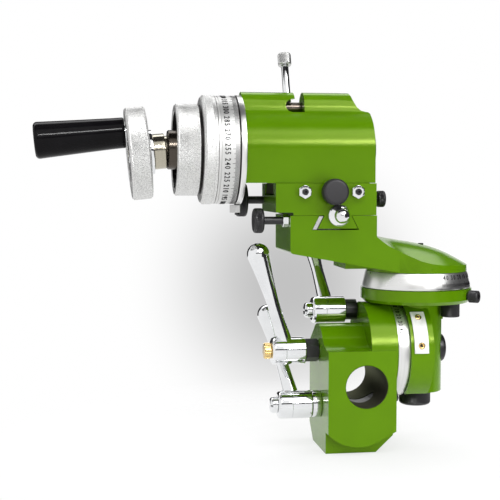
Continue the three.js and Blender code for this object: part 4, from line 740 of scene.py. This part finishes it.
class WORKHEAD_OT_drawbar(bpy.types.Operator):
    """Turns the draw tube, its washer, the knurled handwheel and the crank handle"""

    bl_idname = "workhead.drawbar"
    bl_label = "Drawbar and handle"

    def execute(self, context):
        place = seat("drawbar_turn", False)
        lathe(
            "draw_tube_turned",
            [(5, -42.7), (7.4, -42.7), (7.9, -42.2), (7.9, -20.9), (15.2, -20.9), (15.7, -20.4),
             (15.7, -10.9), (15.3, -10.4), (13.3, -10.4), (13.3, 8.5), (5, 8.5), (5, -42.7)],
            place, 128, 0.15, "draw tube nickel", "grey_steel", "draw_tube",
        )
        lathe(
            "thin_washer",
            [(8.2, -25), (19.8, -25), (19.8, -21.2), (8.2, -21.2), (8.2, -25)],
            place, 128, 0.6, "chrome", "bright_steel", "draw_washer",
        )
        wheel = knurled(
            "knurled_handwheel",
            [(8.2, -39.3), (29.4, -39.3), (30, -39.9), (30, -42.8), (30.5, -43.3), (39.4, -43.3)],
            (41, -41.7, -26.9),
            [(39.4, -25.3), (30.5, -25.3), (30, -25.8), (30, -29.3), (17, -29.3), (17, -25.3),
             (8.2, -25.3), (8.2, -39.3)],
            place,
        )
        dress(wheel, "wheel alloy", "machined_alloy", "handwheel")
        nut = hex_nut("draw_tube_nut", 11.5, 8.2, -43, -39.6, place)
        dress(nut, "chrome", "grey_steel", "wheel_nut")
        grip = seat("handle_turn", False)
        lathe(
            "handle_stud_turned",
            [(0, -86.9), (4, -86.9), (4, -46.6), (7.5, -46.6), (7.5, -39.6), (4, -39.6), (4, -31),
             (0, -31)],
            grip, 64, 0.3, "chrome", "bright_steel", "handle_stud",
        )
        lathe(
            "tapered_handle",
            [(0, -123.4), (12.6, -123.4), *rounded((12.6, -119.8), 3.6, -90, 0, 8), (15.6, -106),
             (14.6, -80), (13.7, -55), (13.6, -48), *rounded((12.1, -45.7), 1.5, 0, 90, 4), (8, -44.2),
             (8, -47), (4.3, -47), (4.3, -87.2), (0, -87.2)],
            grip, 128, 0, "handle black", "black_plastic", "crank_handle",
        )
        return {"FINISHED"}


def clamp_lever(name, node, left, axis, turn, lean):
    """A plated clamp lever: a hub with a turned seam, and an arm that swells to a round end."""
    right = left + 31
    seam = left + 12.6
    hub = turned(
        name,
        [(5.3, left), (9.6, left), *rounded((9.6, left + 3), 3, -90, 0, 6), (12.6, seam - 0.35),
         (12.25, seam - 0.15), (12.25, seam + 0.15), (12.6, seam + 0.35), (12.6, right - 1),
         *rounded((11.6, right - 1), 1, 15, 90, 3), (5.3, right), (5.3, left)],
        along_x(axis), 96, 0,
    )
    ball = rounded((0, 95), 10.2, -12, 90, 12)
    arm = turned(
        "arm",
        [(0, 7.8), (6.8, 7.8), (6.8, 12.6), (6.25, 26), (5.85, 38), (5.72, 43.5), (5.85, 50),
         (6.5, 60), (7.6, 73), (8.9, 85), *ball[:-1], (0, 105.2)],
        Matrix(), 72, 0,
    )
    lean_over = Matrix.Rotation(-math.radians(lean), 4, "Y")
    turn_over = Matrix.Rotation(math.radians(turn), 4, "X")
    middle = Matrix.Translation(Vector(((left + right) / 2, *axis)) * MM)
    settle(arm, middle @ turn_over @ lean_over)
    combine(hub, "UNION", arm)
    edit(hub)
    bpy.ops.mesh.remove_doubles(threshold=MM / 500)
    leave_edit()
    smooth(hub, 28)
    return dress(hub, "chrome", "bright_steel", node)


def slotted_pin(name, node, head, shoulder, end, axis):
    """A plated pin whose round head has a screwdriver slot."""
    y, z = axis
    pin = turned(
        name,
        [(0, head), (3.4, head), *rounded((4.2, head + 3.1), 3.1, -90, 0, 6), (7.3, shoulder),
         (5, shoulder), (5, end), (0, end)],
        along_x(axis), 72, 0,
    )
    combine(pin, "DIFFERENCE", bar("slot", (head - 1, y - 9, z - 0.9), (head + 2.1, y + 9, z + 0.9)))
    smooth(pin, 30)
    return dress(pin, "chrome", "bright_steel", node)


class WORKHEAD_OT_levers(bpy.types.Operator):
    """Shapes the three clamp levers with their pins, spacers and end screws"""

    bl_idname = "workhead.levers"
    bl_label = "Clamp levers"

    def execute(self, context):
        clamp_lever("tilt_clamp_lever", "tilt_lever", -78.6, TILT_AXIS, 8, 18)
        clamp_lever("bar_clamp_lever", "bar_lever", -74.6, BAR_LEVER_AXIS, -36, 9)
        clamp_lever("flange_clamp_lever", "flange_lever", -37.6, FLANGE_LEVER_AXIS, -38, 5)
        slotted_pin("bar_clamp_pin", "bar_lever_pin", -81.4, -74.9, -21, BAR_LEVER_AXIS)
        slotted_pin("flange_clamp_pin", "flange_lever_pin", -44.4, -37.9, 17, FLANGE_LEVER_AXIS)
        tilt = along_x(TILT_AXIS)
        lathe(
            "bar_clamp_spacer",
            [(5.3, -43.3), (12, -43.3), (12, -35.3), (5.3, -35.3), (5.3, -43.3)],
            along_x(BAR_LEVER_AXIS), 96, 0.5, "chrome", "bright_steel", "bar_lever_spacer",
        )
        hexagon = hex_nut("tilt_clamp_hexagon", 10.6, 6.3, -47.3, -35.3, tilt)
        dress(hexagon, "blackened steel", "black_oxide", "tilt_spacer")
        collar = prism("flange_clamp_collar", 12, 9.8, -6.3, 4.7, along_x(FLANGE_LEVER_AXIS), 15)
        round_edges(collar, 0.5, 2, 20)
        smooth(collar, 25)
        dress(collar, "blackened steel", "black_oxide", "flange_lever_collar")
        screw = turned(
            "fluted_brass_screw",
            [(0, -85.4), (6.4, -85.4), (7.3, -84.5), (7.3, -79.6), (6.6, -78.9), (2.4, -78.9),
             (2.4, -72.4), (0, -72.4)],
            tilt, 96, 0,
        )
        flutes = []
        for count in range(8):
            turn = math.radians(45 * count)
            y, z = TILT_AXIS
            groove = along_x((y + 7.6 * math.cos(turn), z + 7.6 * math.sin(turn)))
            flutes.append(prism("flute", 20, 1.5, -87, -78, groove))
        combine(screw, "DIFFERENCE", join("flutes", flutes))
        smooth(screw, 30)
        dress(screw, "brass", "brass", "tilt_end_screw")
        return {"FINISHED"}


class WORKHEAD_OT_screws(bpy.types.Operator):
    """Makes the knobs, stops, set screws and nuts"""

    bl_idname = "workhead.screws"
    bl_label = "Screws and nuts"

    def execute(self, context):
        lathe(
            "clamp_knob_turned",
            [(0, -46.5), (8.7, -46.5), *rounded((8.7, -43.7), 2.8, -90, 0, 8), (11.5, -36.9),
             *rounded((10.1, -36.9), 1.4, 0, 90, 4), (4, -35.5), (4, -23.5), (0, -23.5)],
            line((0, 1, 0), x=-29.56, z=GIB_SCREWS_HEIGHT), 96, 0,
            "knob black", "black_plastic", "head_clamp_knob",
        )
        for side, x in (("left", -55.44), ("right", -7.91)):
            place = line((0, 1, 0), x=x, z=GIB_SCREWS_HEIGHT)
            nut = hex_nut(side + "_gib_lock_nut", 6.12, 2.9, -37.7, -33.3, place)
            dress(nut, "chrome", "grey_steel", side + "_gib_nut")
            screw = turned(
                side + "_gib_set_screw",
                [(0, -40), (2.2, -40), (2.6, -39.6), (2.6, -22.7), (0, -22.7)],
                place, 48, 0,
            )
            hex_socket(screw, 1.4, -41, -37.4, place)
            dress(screw, "screw black", "black_oxide", side + "_gib_screw")
        head_screw(
            "thumb_screw_knurled", "gib_thumb_screw", along_x(THUMB_SCREW_AXIS),
            (-99.4, -90.4), 11, 2.2, 3.5, -46.5,
        )
        nut = hex_nut("thumb_screw_nut", 5.77, 3.8, -73.3, -68.1, along_x(THUMB_SCREW_AXIS))
        dress(nut, "chrome", "bright_steel", "gib_thumb_nut")
        head_screw(
            "left_stop_knurled", "left_stop_screw", along_x((35, 164.8)),
            (-106.6, -96.9), 15.4, 2.0, 3.6, -69.3,
        )
        head_screw(
            "right_stop_knurled", "right_stop_screw", along_x((13, 165.8), -1),
            (-29.3, -21.8), 7.6, 1.6, 3.6, 1.9,
        )
        swivel = seat("swivel_turn")
        nut = knurled(
            "swivel_nut_knurled",
            [(7.3, -11.3), (7.3, -24.8), (12.2, -24.8), (13.4, -24.2), (14.1, -23.5)],
            (14.5, -22.6, -11.9),
            [(13.9, -11.3), (7.3, -11.3)],
            swivel, FINE_KNURL,
        )
        dress(nut, "screw black", "black_plastic", "swivel_nut")
        place = line((0, 0, 1), x=84.5, y=-15)
        cap = knurled(
            "disc_cap_screw",
            [(0, 58.4), (7.7, 58.4), (8.1, 58.6)],
            (8.4, 59.1, 70.9),
            [(8.1, 71.4), (4.2, 71.4), (4.2, 78.1), (0, 78.1)],
            place, FINE_KNURL,
        )
        hex_socket(cap, 4.6, 57, 63.5, place)
        dress(cap, "screw black", "black_oxide", "disc_screw")
        place = seat("lock_knob_turn", False)
        knob = knurled(
            "rim_lock_knob",
            [(0, 39), (2.5, 39), (2.5, 52.5), (5.2, 52.5)],
            (5.6, 52.9, 60.4),
            [(5.1, 61), (0, 61)],
            place, FINE_KNURL,
        )
        hex_socket(knob, 2.6, 62, 57, place)
        dress(knob, "screw black", "black_plastic", "swivel_lock_knob")
        side = turned(
            "tilt_side_screw",
            [(0, 65.1), (5, 65.1), (5, 77.5), (13, 77.5), (13, 81.8), (12.2, 83.2), (10.8, 84),
             (0, 84)],
            seat("side_screw_turn"), 96, 0.2,
        )
        hex_socket(side, 5, 86, 79.5, seat("side_screw_turn"))
        dress(side, "blackened steel", "black_oxide", "swivel_side_screw")
        return {"FINISHED"}


def head_screw(name, node, place, head, radius, rounding, shank, end):
    """A black screw with a knurled round head."""
    low, high = head
    near, far = low + rounding, high - rounding
    flat = radius - rounding
    screw = knurled(
        name,
        [(0, low), (flat, low), *rounded((flat, near), rounding, -75, -15, 3)],
        (radius, near, far),
        [*rounded((flat, far), rounding, 15, 75, 3), (flat, high), (shank, high), (shank, end),
         (0, end)],
        place, FINE_KNURL,
    )
    return dress(screw, "screw black", "black_plastic", node)


class WORKHEAD_OT_index_pin(bpy.types.Operator):
    """Turns the index rod, its leaning stem with the knurled knob, and the push handle"""

    bl_idname = "workhead.index_pin"
    bl_label = "Index pin and push handle"

    def execute(self, context):
        lathe(
            "index_rod_turned",
            [(0, -111.8), (2.2, -111.8), (3, -110.6), (3, -104.8), (4.7, -104.8), (4.7, -46.3),
             (4.2, -45.8), (0, -45.8)],
            along_x(ROD_AXIS), 64, 0.15, "index steel", "bright_steel", "index_rod",
        )
        lean = math.radians(21.2)
        y, z = ROD_AXIS
        place = line((0, math.sin(lean), math.cos(lean)), x=-63.5, y=y, z=z)
        lathe(
            "index_stem",
            [(0, 5), (3.4, 5), (3.4, 41.6), (1.7, 41.6), (1.7, 47.5), (0, 47.5)],
            place, 64, 0.25, "chrome", "bright_steel", "plunger_stem",
        )
        knob = knurled(
            "index_knob",
            [(1.9, 47.7), (1.9, 41.9), (4.6, 41.9), (5.4, 42.1), (5.9, 42.6)],
            (6.1, 43.0, 52.3),
            [(5.9, 52.8), (5.4, 53.4), (4.6, 53.7), (0, 53.7), (0, 47.7), (1.9, 47.7)],
            place,
        )
        dress(knob, "knurled chrome", "bright_steel", "plunger_knob")
        lathe(
            "push_handle_turned",
            [*rounded((0, -45.7), 6.8, -90, 40, 14), (5.2, -39.5), (6.0, -38.9), (7.4, -38.3),
             (8.8, -37.2), (9.8, -35.8), (9.8, -33.3), (2.6, -33.3), (2.6, -23.3), (0, -23.3)],
            line((0, 1, 0), x=-24.5, z=152.0), 96, 0, "chrome", "bright_steel", "push_handle",
        )
        return {"FINISHED"}


def model_digits(height):
    """Models each figure once, standing in its own plane, as high as asked for in metres."""
    shapes = {}
    for figure in "0123456789":
        deselect_all()
        bpy.ops.object.text_add(location=(0, 0, 0))
        shape = bpy.context.object
        shape.data.body = figure
        shape.data.extrude = 0.03
        shape.data.resolution_u = 4
        shape.data.offset = 0.014
        bpy.ops.object.convert(target="MESH")
        shape = bpy.context.object
        spans = [[point.co[axis] for point in shape.data.vertices] for axis in range(2)]
        middle = [(min(span) + max(span)) / 2 for span in spans]
        grow = height / (max(spans[1]) - min(spans[1]))
        centred = Matrix.Translation((-middle[0], -middle[1], 0))
        shape.matrix_world = Matrix.Diagonal((grow * 0.8, grow, grow, 1)) @ centred
        bpy.ops.object.transform_apply(location=True, rotation=True, scale=True)
        shapes[figure] = shape
    return shapes


def figure_ring(name, shapes, labels, pitch, spot):
    """Sets labels round a ring: spot(angle) is a figure's place, and pitch is in degrees."""
    pieces = []
    for label, angle in labels:
        for count, figure in enumerate(label):
            piece = shapes[figure].copy()
            piece.data = shapes[figure].data.copy()
            bpy.context.scene.collection.objects.link(piece)
            piece.matrix_world = spot(angle + (count - (len(label) - 1) / 2) * pitch)
            pieces.append(piece)
    ring = join(name, pieces)
    return settle(ring)


def tick_ring(name, radius, low, high, width, start, step, count, place, lean=0.0):
    """Fine lines round a ring, from one height to another."""
    tick = bar(name, (-width / 2, -0.14, low), (width / 2, 0.03, high))
    if lean:
        middle = Matrix.Translation((0, 0, (low + high) / 2 * MM))
        settle(tick, middle @ Matrix.Rotation(math.radians(lean), 4, "X") @ middle.inverted())
    first = Matrix.Rotation(math.radians(start) - math.pi / 2, 4, "Z")
    settle(tick, first @ Matrix.Translation((0, radius * MM, 0)))
    edit(tick)
    angle = -math.radians(step * (count - 1))
    bpy.ops.mesh.spin(steps=count - 1, dupli=True, angle=angle, center=(0, 0, 0), axis=(0, 0, 1))
    leave_edit()
    return settle(tick, place)


def mark_scale(name, body, place, height, labels, pitch, spot, ticks):
    """A scale in ink: its figures, and its ticks joined in one piece.

    Each row of ticks is their rank, their lean and what tick_ring takes before the place."""
    shapes = model_digits(height)
    figures = figure_ring(name + "_figures", shapes, labels, pitch, spot)
    deselect_all()
    for shape in shapes.values():
        shape.select_set(True)
    bpy.ops.object.delete()
    marks = [tick_ring(name + "_" + rank, *row, place, lean) for rank, lean, *row in ticks]
    for piece in (figures, join(name + "_marks", marks)):
        dress(piece, "ink", "black_oxide", body=body)


def spot_on(x, radius, axis):
    """Where a figure stands on a ring about an axis along X, by its angle from the front."""

    def spot(angle):
        turn = math.radians(angle)
        point = (x, axis[0] - radius * math.cos(turn), axis[1] + radius * math.sin(turn))
        return facing(point, (0, -math.sin(turn), -math.cos(turn)), (1, 0, 0))

    return spot


class WORKHEAD_OT_scales(bpy.types.Operator):
    """Turns the tilt and swivel rings and marks the three scales"""

    bl_idname = "workhead.scales"
    bl_label = "Scales"

    def execute(self, context):
        tilt, swivel, spindle = seat("knuckle_tilt"), seat("swivel_turn"), seat("spindle_turn")
        profile = [(33, 29.5), (43.6, 29.5), (43.6, 40.3), (33, 40.3), (33, 29.5)]
        ring = turned("tilt_scale", profile, tilt, 192, 0.25)
        dress(ring, "tilt alloy", "machined_alloy", "tilt_ring")
        profile = [(41.5, 84.8), (49.6, 84.8), (49.6, 87.2), (46.5, 99.8), (41.5, 99.8), (41.5, 84.8)]
        ring = turned("swivel_scale", profile, swivel, 192, 0.25)
        dress(ring, "swivel alloy", "machined_alloy", "swivel_ring")
        # Angles on the dial where 0 stands and where its first tick stands, then the same for the
        # tilt and swivel rings, which are marked 45 degrees either way of their zero
        dial_zero, first_tick, tilt_zero, swivel_zero = -255.6, 0.6, 69, 57
        self.mark_dial(context, spindle, dial_zero, first_tick)
        self.mark_tilt(tilt, tilt_zero)
        self.mark_swivel(swivel, swivel_zero)
        return {"FINISHED"}

    def mark_dial(self, context, place, zero, first):
        mark_scale(
            "dial", "spindle_body", place, context.scene.work_head_sizes.figure_height,
            [(str(number), number + zero) for number in range(0, 360, 15)],
            -4.2, spot_on(-124.0, 48.22, HEAD_AXIS),
            [("marks", 0, 48.2, -117.4, -113.7, 0.34, first, 1, 360),
             ("fives", 0, 48.2, -118.5, -117.4, 0.36, first, 5, 72),
             ("fifteens", 0, 48.2, -119.8, -118.5, 0.36, first, 15, 24)],
        )

    def mark_tilt(self, place, zero):
        mark_scale(
            "tilt", "knuckle", place, 4.0 * MM,
            [(str(abs(number)), zero - number) for number in range(-40, 50, 10)],
            -3.9, spot_on(33.4, 43.62, TILT_AXIS),
            [("marks", 0, 43.6, 37.6, 39.9, 0.24, 180 - zero - 45, 1, 91),
             ("tens", 0, 43.6, 36.2, 37.6, 0.24, 180 - zero - 40, 10, 9)],
        )

    def mark_swivel(self, place, zero):
        fall, rise = 3.1, 12.6
        slope = math.atan2(fall, rise)

        def spot(angle):
            side, front = math.sin(math.radians(angle)), math.cos(math.radians(angle))
            radius = 49.6 - (96.2 - 87.2) * fall / rise + 0.03
            point = (57.5 + radius * side, 5 - radius * front, 96.2)
            upward = (-side * math.sin(slope), front * math.sin(slope), math.cos(slope))
            return facing(point, (front, side, 0), upward)

        mark_scale(
            "swivel", "knuckle", place, 4.0 * MM,
            [(str(abs(number)), zero + number) for number in range(-40, 50, 10)],
            3.9, spot,
            [("marks", 13.8, 49.15, 88.0, 90.6, 0.26, 90 + zero - 45, 1, 91),
             ("tens", 13.8, 48.6, 90.6, 92.2, 0.26, 90 + zero - 40, 10, 9)],
        )


class WORKHEAD_OT_plate(bpy.types.Operator):
    """Trims the bare plate and sets its two rivets"""

    bl_idname = "workhead.plate"
    bl_label = "Plate and rivets"

    def execute(self, context):
        dressed_copy("name_plate", "bare_plate", "plate", "white_plate", 0.15, 1)
        y, z = TILT_AXIS
        for node in ("upper_rivet", "lower_rivet"):
            low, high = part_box(node)
            middle = (low + high) / 2 / MM
            place = line((0, middle.y - y, middle.z - z), x=middle.x, y=y, z=z)
            rivet = turned(
                node + "_rim",
                [(1.2, 46.2), (3.0, 47.2), (3.0, 47.4), (2.7, 47.8), (2.1, 48.05), (1.5, 47.9),
                 (1.2, 47.5), (1.2, 46.2)],
                place, 40, 0,
            )
            dress(rivet, "brass", "brass", node)
            # Painted shade: a black ink disc fills the rivet's hole, standing in for the shadow inside
            # it
            hole_shade = turned(node + "_eye", [(0, 46.6), (1.3, 46.6), (1.3, 47.35), (0, 47.2)], place, 24, 0)
            dress(hole_shade, "ink", "black_oxide", body="knuckle")
        return {"FINISHED"}


class WORKHEAD_OT_plain_metal(bpy.types.Operator):
    """Finishes the small metal pieces that keep their CAD shape"""

    bl_idname = "workhead.plain_metal"
    bl_label = "Plain metal pieces"

    def execute(self, context):
        for node, name in (
            ("cross_gib", "lower_gib"),
            ("head_gib", "upper_gib"),
            ("zero_pointer", "zero_plate"),
        ):
            dressed_copy(node, name, "ground steel", "machined_alloy", 0.25, 1)
        repaint("ground steel", "tilt_bolt", "swivel_bolt", "index_plate")
        repaint("blackened steel", "bar_cotter", "tilt_pointer", "dome_screw", "pointer_screw",
                "upper_lock_screw", "lower_lock_screw")
        return {"FINISHED"}


class WORKHEAD_OT_studio(bpy.types.Operator):
    """Lays the floor, hangs the lights and sets the camera"""

    bl_idname = "workhead.studio"
    bl_label = "Studio"

    def execute(self, context):
        low, _ = CAD_BOX
        make_floor(low.z - 0.2 * MM, context.scene.work_head_sizes.floor_radius)
        make_world(context.scene)
        make_lights()
        make_camera(context.scene)
        context.scene.view_settings.view_transform = "Standard"
        return {"FINISHED"}


def make_floor(height, radius):
    deselect_all()
    bpy.ops.mesh.primitive_circle_add(
        vertices=96, radius=radius, fill_type="NGON", location=(0, 0, height)
    )
    floor = settle(named(bpy.context.object, "floor"))
    paint = {"Roughness": 0.9, "Base Color": (0.93, 0.93, 0.94, 1)}
    finish, tree, shader = new_finish("floor", **paint)
    where = place_on(tree)
    reach = add(tree, "VectorMath", {0: where}, operation="LENGTH").outputs["Value"]
    path = add(tree, "LightPath").outputs
    seen = calculate(tree, "MAXIMUM", path["Is Camera Ray"], path["Is Glossy Ray"])
    seen = calculate(tree, "MAXIMUM", seen, path["Is Transmission Ray"])
    white = add(tree, "Emission", {"Color": (1, 1, 1, 1), "Strength": 1.0})
    share = calculate(tree, "MULTIPLY", seen, 0.7)
    paper = add(tree, "MixShader", {0: share, 1: shader.outputs[0], 2: white.outputs[0]})
    fade = spread(tree, reach, 0.14, 0.36, 0, 1)
    clear = add(tree, "BsdfTransparent")
    blend = add(tree, "MixShader", {0: fade, 1: paper.outputs[0], 2: clear.outputs[0]})
    output = next(node for node in tree.nodes if node.type == "OUTPUT_MATERIAL")
    tree.links.new(blend.outputs[0], output.inputs["Surface"])
    floor.data.materials.append(finish)


# The painted shadow on the backdrop: its direction, its reach round that and how dark it is
PAINTED_BACKDROP_SHADOW = ((0.183, 0.980, -0.091), 0.16, 0.46)


def make_world(scene):
    """White all round, with a painted shadow: the soft grey of the work head's shadow on a backdrop
    behind it, painted into the world where the camera sees it.
    """
    world = bpy.data.worlds.new("studio")
    scene.world = world
    world.use_nodes = True
    tree = world.node_tree
    tree.nodes.clear()
    direction = add(tree, "TexCoord").outputs["Generated"]
    toward, reach, depth = PAINTED_BACKDROP_SHADOW
    ends = {0: direction, 1: Vector(toward).normalized()}
    away = add(tree, "VectorMath", ends, operation="DISTANCE").outputs["Value"]
    # Painted shadow: the world seen by the camera darkens round one direction
    shade = add(
        tree,
        "MapRange",
        {"Value": away, "From Min": 0.0, "From Max": reach, "To Min": 1 - depth, "To Max": 1.0},
        interpolation_type="SMOOTHERSTEP",
    ).outputs[0]
    seen, mirrored, light = (
        add(tree, "Background", {"Color": (1, 1, 1, 1), "Strength": strength})
        for strength in (shade, 1.0, 0.55)
    )
    path = add(tree, "LightPath").outputs
    glossy = calculate(tree, "MAXIMUM", path["Is Glossy Ray"], path["Is Transmission Ray"])
    indirect = add(tree, "MixShader", {0: glossy, 1: light.outputs[0], 2: mirrored.outputs[0]})
    shares = {0: path["Is Camera Ray"], 1: indirect.outputs[0], 2: seen.outputs[0]}
    mixed = add(tree, "MixShader", shares)
    output = add(tree, "OutputWorld")
    tree.links.new(mixed.outputs[0], output.inputs["Surface"])


def add_area(name, location, target, size, power):
    deselect_all()
    bpy.ops.object.light_add(type="AREA", location=location)
    lamp = bpy.context.object
    lamp.name = name
    lamp.data.shape = "RECTANGLE"
    lamp.data.size, lamp.data.size_y = size
    lamp.data.energy = power
    lamp.rotation_euler = (Vector(target) - Vector(location)).to_track_quat("-Z", "Y").to_euler()
    return lamp


def add_flag(name, location, target, size):
    """A dark cloth out of view, which polished metal and paint mirror."""
    deselect_all()
    bpy.ops.mesh.primitive_plane_add(size=1, location=location)
    flag = named(bpy.context.object, name)
    flag.scale = (size[0], size[1], 1)
    flag.rotation_euler = (Vector(target) - Vector(location)).to_track_quat("Z", "Y").to_euler()
    settle(flag)
    finish, _, _ = new_finish(name, **{"Roughness": 0.9, "Base Color": (0.02, 0.02, 0.022, 1)})
    flag.data.materials.append(finish)
    flag.visible_camera = False
    flag.visible_diffuse = False
    flag.visible_shadow = False


def make_lights():
    head = (-0.06, -0.03, 0.215)
    for name, location, target, size, power, hidden in (
        ("front_strip", (1.13, -2.2, 1.30), head, (1.56, 0.45), 40, "visible_diffuse"),
        ("handle_line", (-0.29, -1.47, 1.10), head, (0.42, 0.10), 9, "visible_diffuse"),
        ("front_panel", (0.86, -1.25, 1.66), head, (1.5, 1.1), 15, None),
        ("ceiling", (-0.06, 0.55, 1.35), (-0.06, 0.03, 0.2), (1.9, 1.1), 13, None),
        ("key", (-0.5, -1.2, 1.5), head, (0.8, 0.8), 10, "visible_glossy"),
        ("low_fill", (0.45, -0.55, 0.0), (0.03, 0, 0.03), (0.3, 0.3), 1.8, "visible_glossy"),
    ):
        lamp = add_area(name, location, target, size, power)
        if hidden:
            setattr(lamp, hidden, False)
    for name, location, target, size in (
        ("front_slot_cloth", (0.2, -1.9, 0.59), head, (3.2, 0.34)),
        ("overhead_cloth", (-0.06, 0.0, 1.2), (-0.06, 0.0, 0), (3.0, 0.9)),
        ("right_front_cloth", (0.95, -0.8, 0.25), head, (1.2, 1.3)),
        ("right_cloth", (1.5, 0.0, 0.7), head, (2.0, 2.0)),
        ("left_back_cloth", (-0.95, 1.8, 0.5), head, (1.7, 1.6)),
        ("right_back_cloth", (1.6, 1.4, 0.5), head, (1.2, 1.6)),
        ("high_back_cloth", (0.1, 1.5, 1.3), head, (2.8, 1.1)),
    ):
        add_flag(name, location, target, size)


def make_camera(scene):
    data = bpy.data.cameras.new("photo")
    camera = bpy.data.objects.new("photo", data)
    scene.collection.objects.link(camera)
    data.sensor_width = 36
    data.lens = 79.2
    camera.location = (-0.245, -0.979, 0.179)
    turn, down = math.radians(8.5), math.radians(3.4)
    level = math.cos(down)
    forward = Vector((math.sin(turn) * level, math.cos(turn) * level, -math.sin(down)))
    camera.rotation_euler = forward.to_track_quat("-Z", "Y").to_euler()
    scene.camera = camera


STEPS = (
    WORKHEAD_OT_castings,
    WORKHEAD_OT_spindle,
    WORKHEAD_OT_drawbar,
    WORKHEAD_OT_levers,
    WORKHEAD_OT_screws,
    WORKHEAD_OT_index_pin,
    WORKHEAD_OT_scales,
    WORKHEAD_OT_plate,
    WORKHEAD_OT_plain_metal,
    WORKHEAD_OT_studio,
)


class WORKHEAD_PT_panel(bpy.types.Panel):
    """Lists the steps that finish the work head"""

    bl_idname = "WORKHEAD_PT_panel"
    bl_label = "Work Head"
    bl_space_type = "VIEW_3D"
    bl_region_type = "UI"
    bl_category = "Work Head"

    def draw(self, context):
        for group in (context.scene.work_head_sizes, context.scene.work_head_colours):
            for key in group.__annotations__:
                self.layout.prop(group, key)
        for step in STEPS:
            self.layout.operator(step.bl_idname, text=step.bl_label)


CLASSES = (WorkHeadSizes, WorkHeadColours, *STEPS, WORKHEAD_PT_panel)


def register():
    for entry in CLASSES:
        bpy.utils.register_class(entry)
    bpy.types.Scene.work_head_sizes = bpy.props.PointerProperty(type=WorkHeadSizes)
    bpy.types.Scene.work_head_colours = bpy.props.PointerProperty(type=WorkHeadColours)


def unregister():
    del bpy.types.Scene.work_head_colours
    del bpy.types.Scene.work_head_sizes
    for entry in reversed(CLASSES):
        bpy.utils.unregister_class(entry)


def main():
    register()
    for step in STEPS:
        group, action = step.bl_idname.split(".")
        getattr(getattr(bpy.ops, group), action)()


if __name__ == "__main__":
    main()
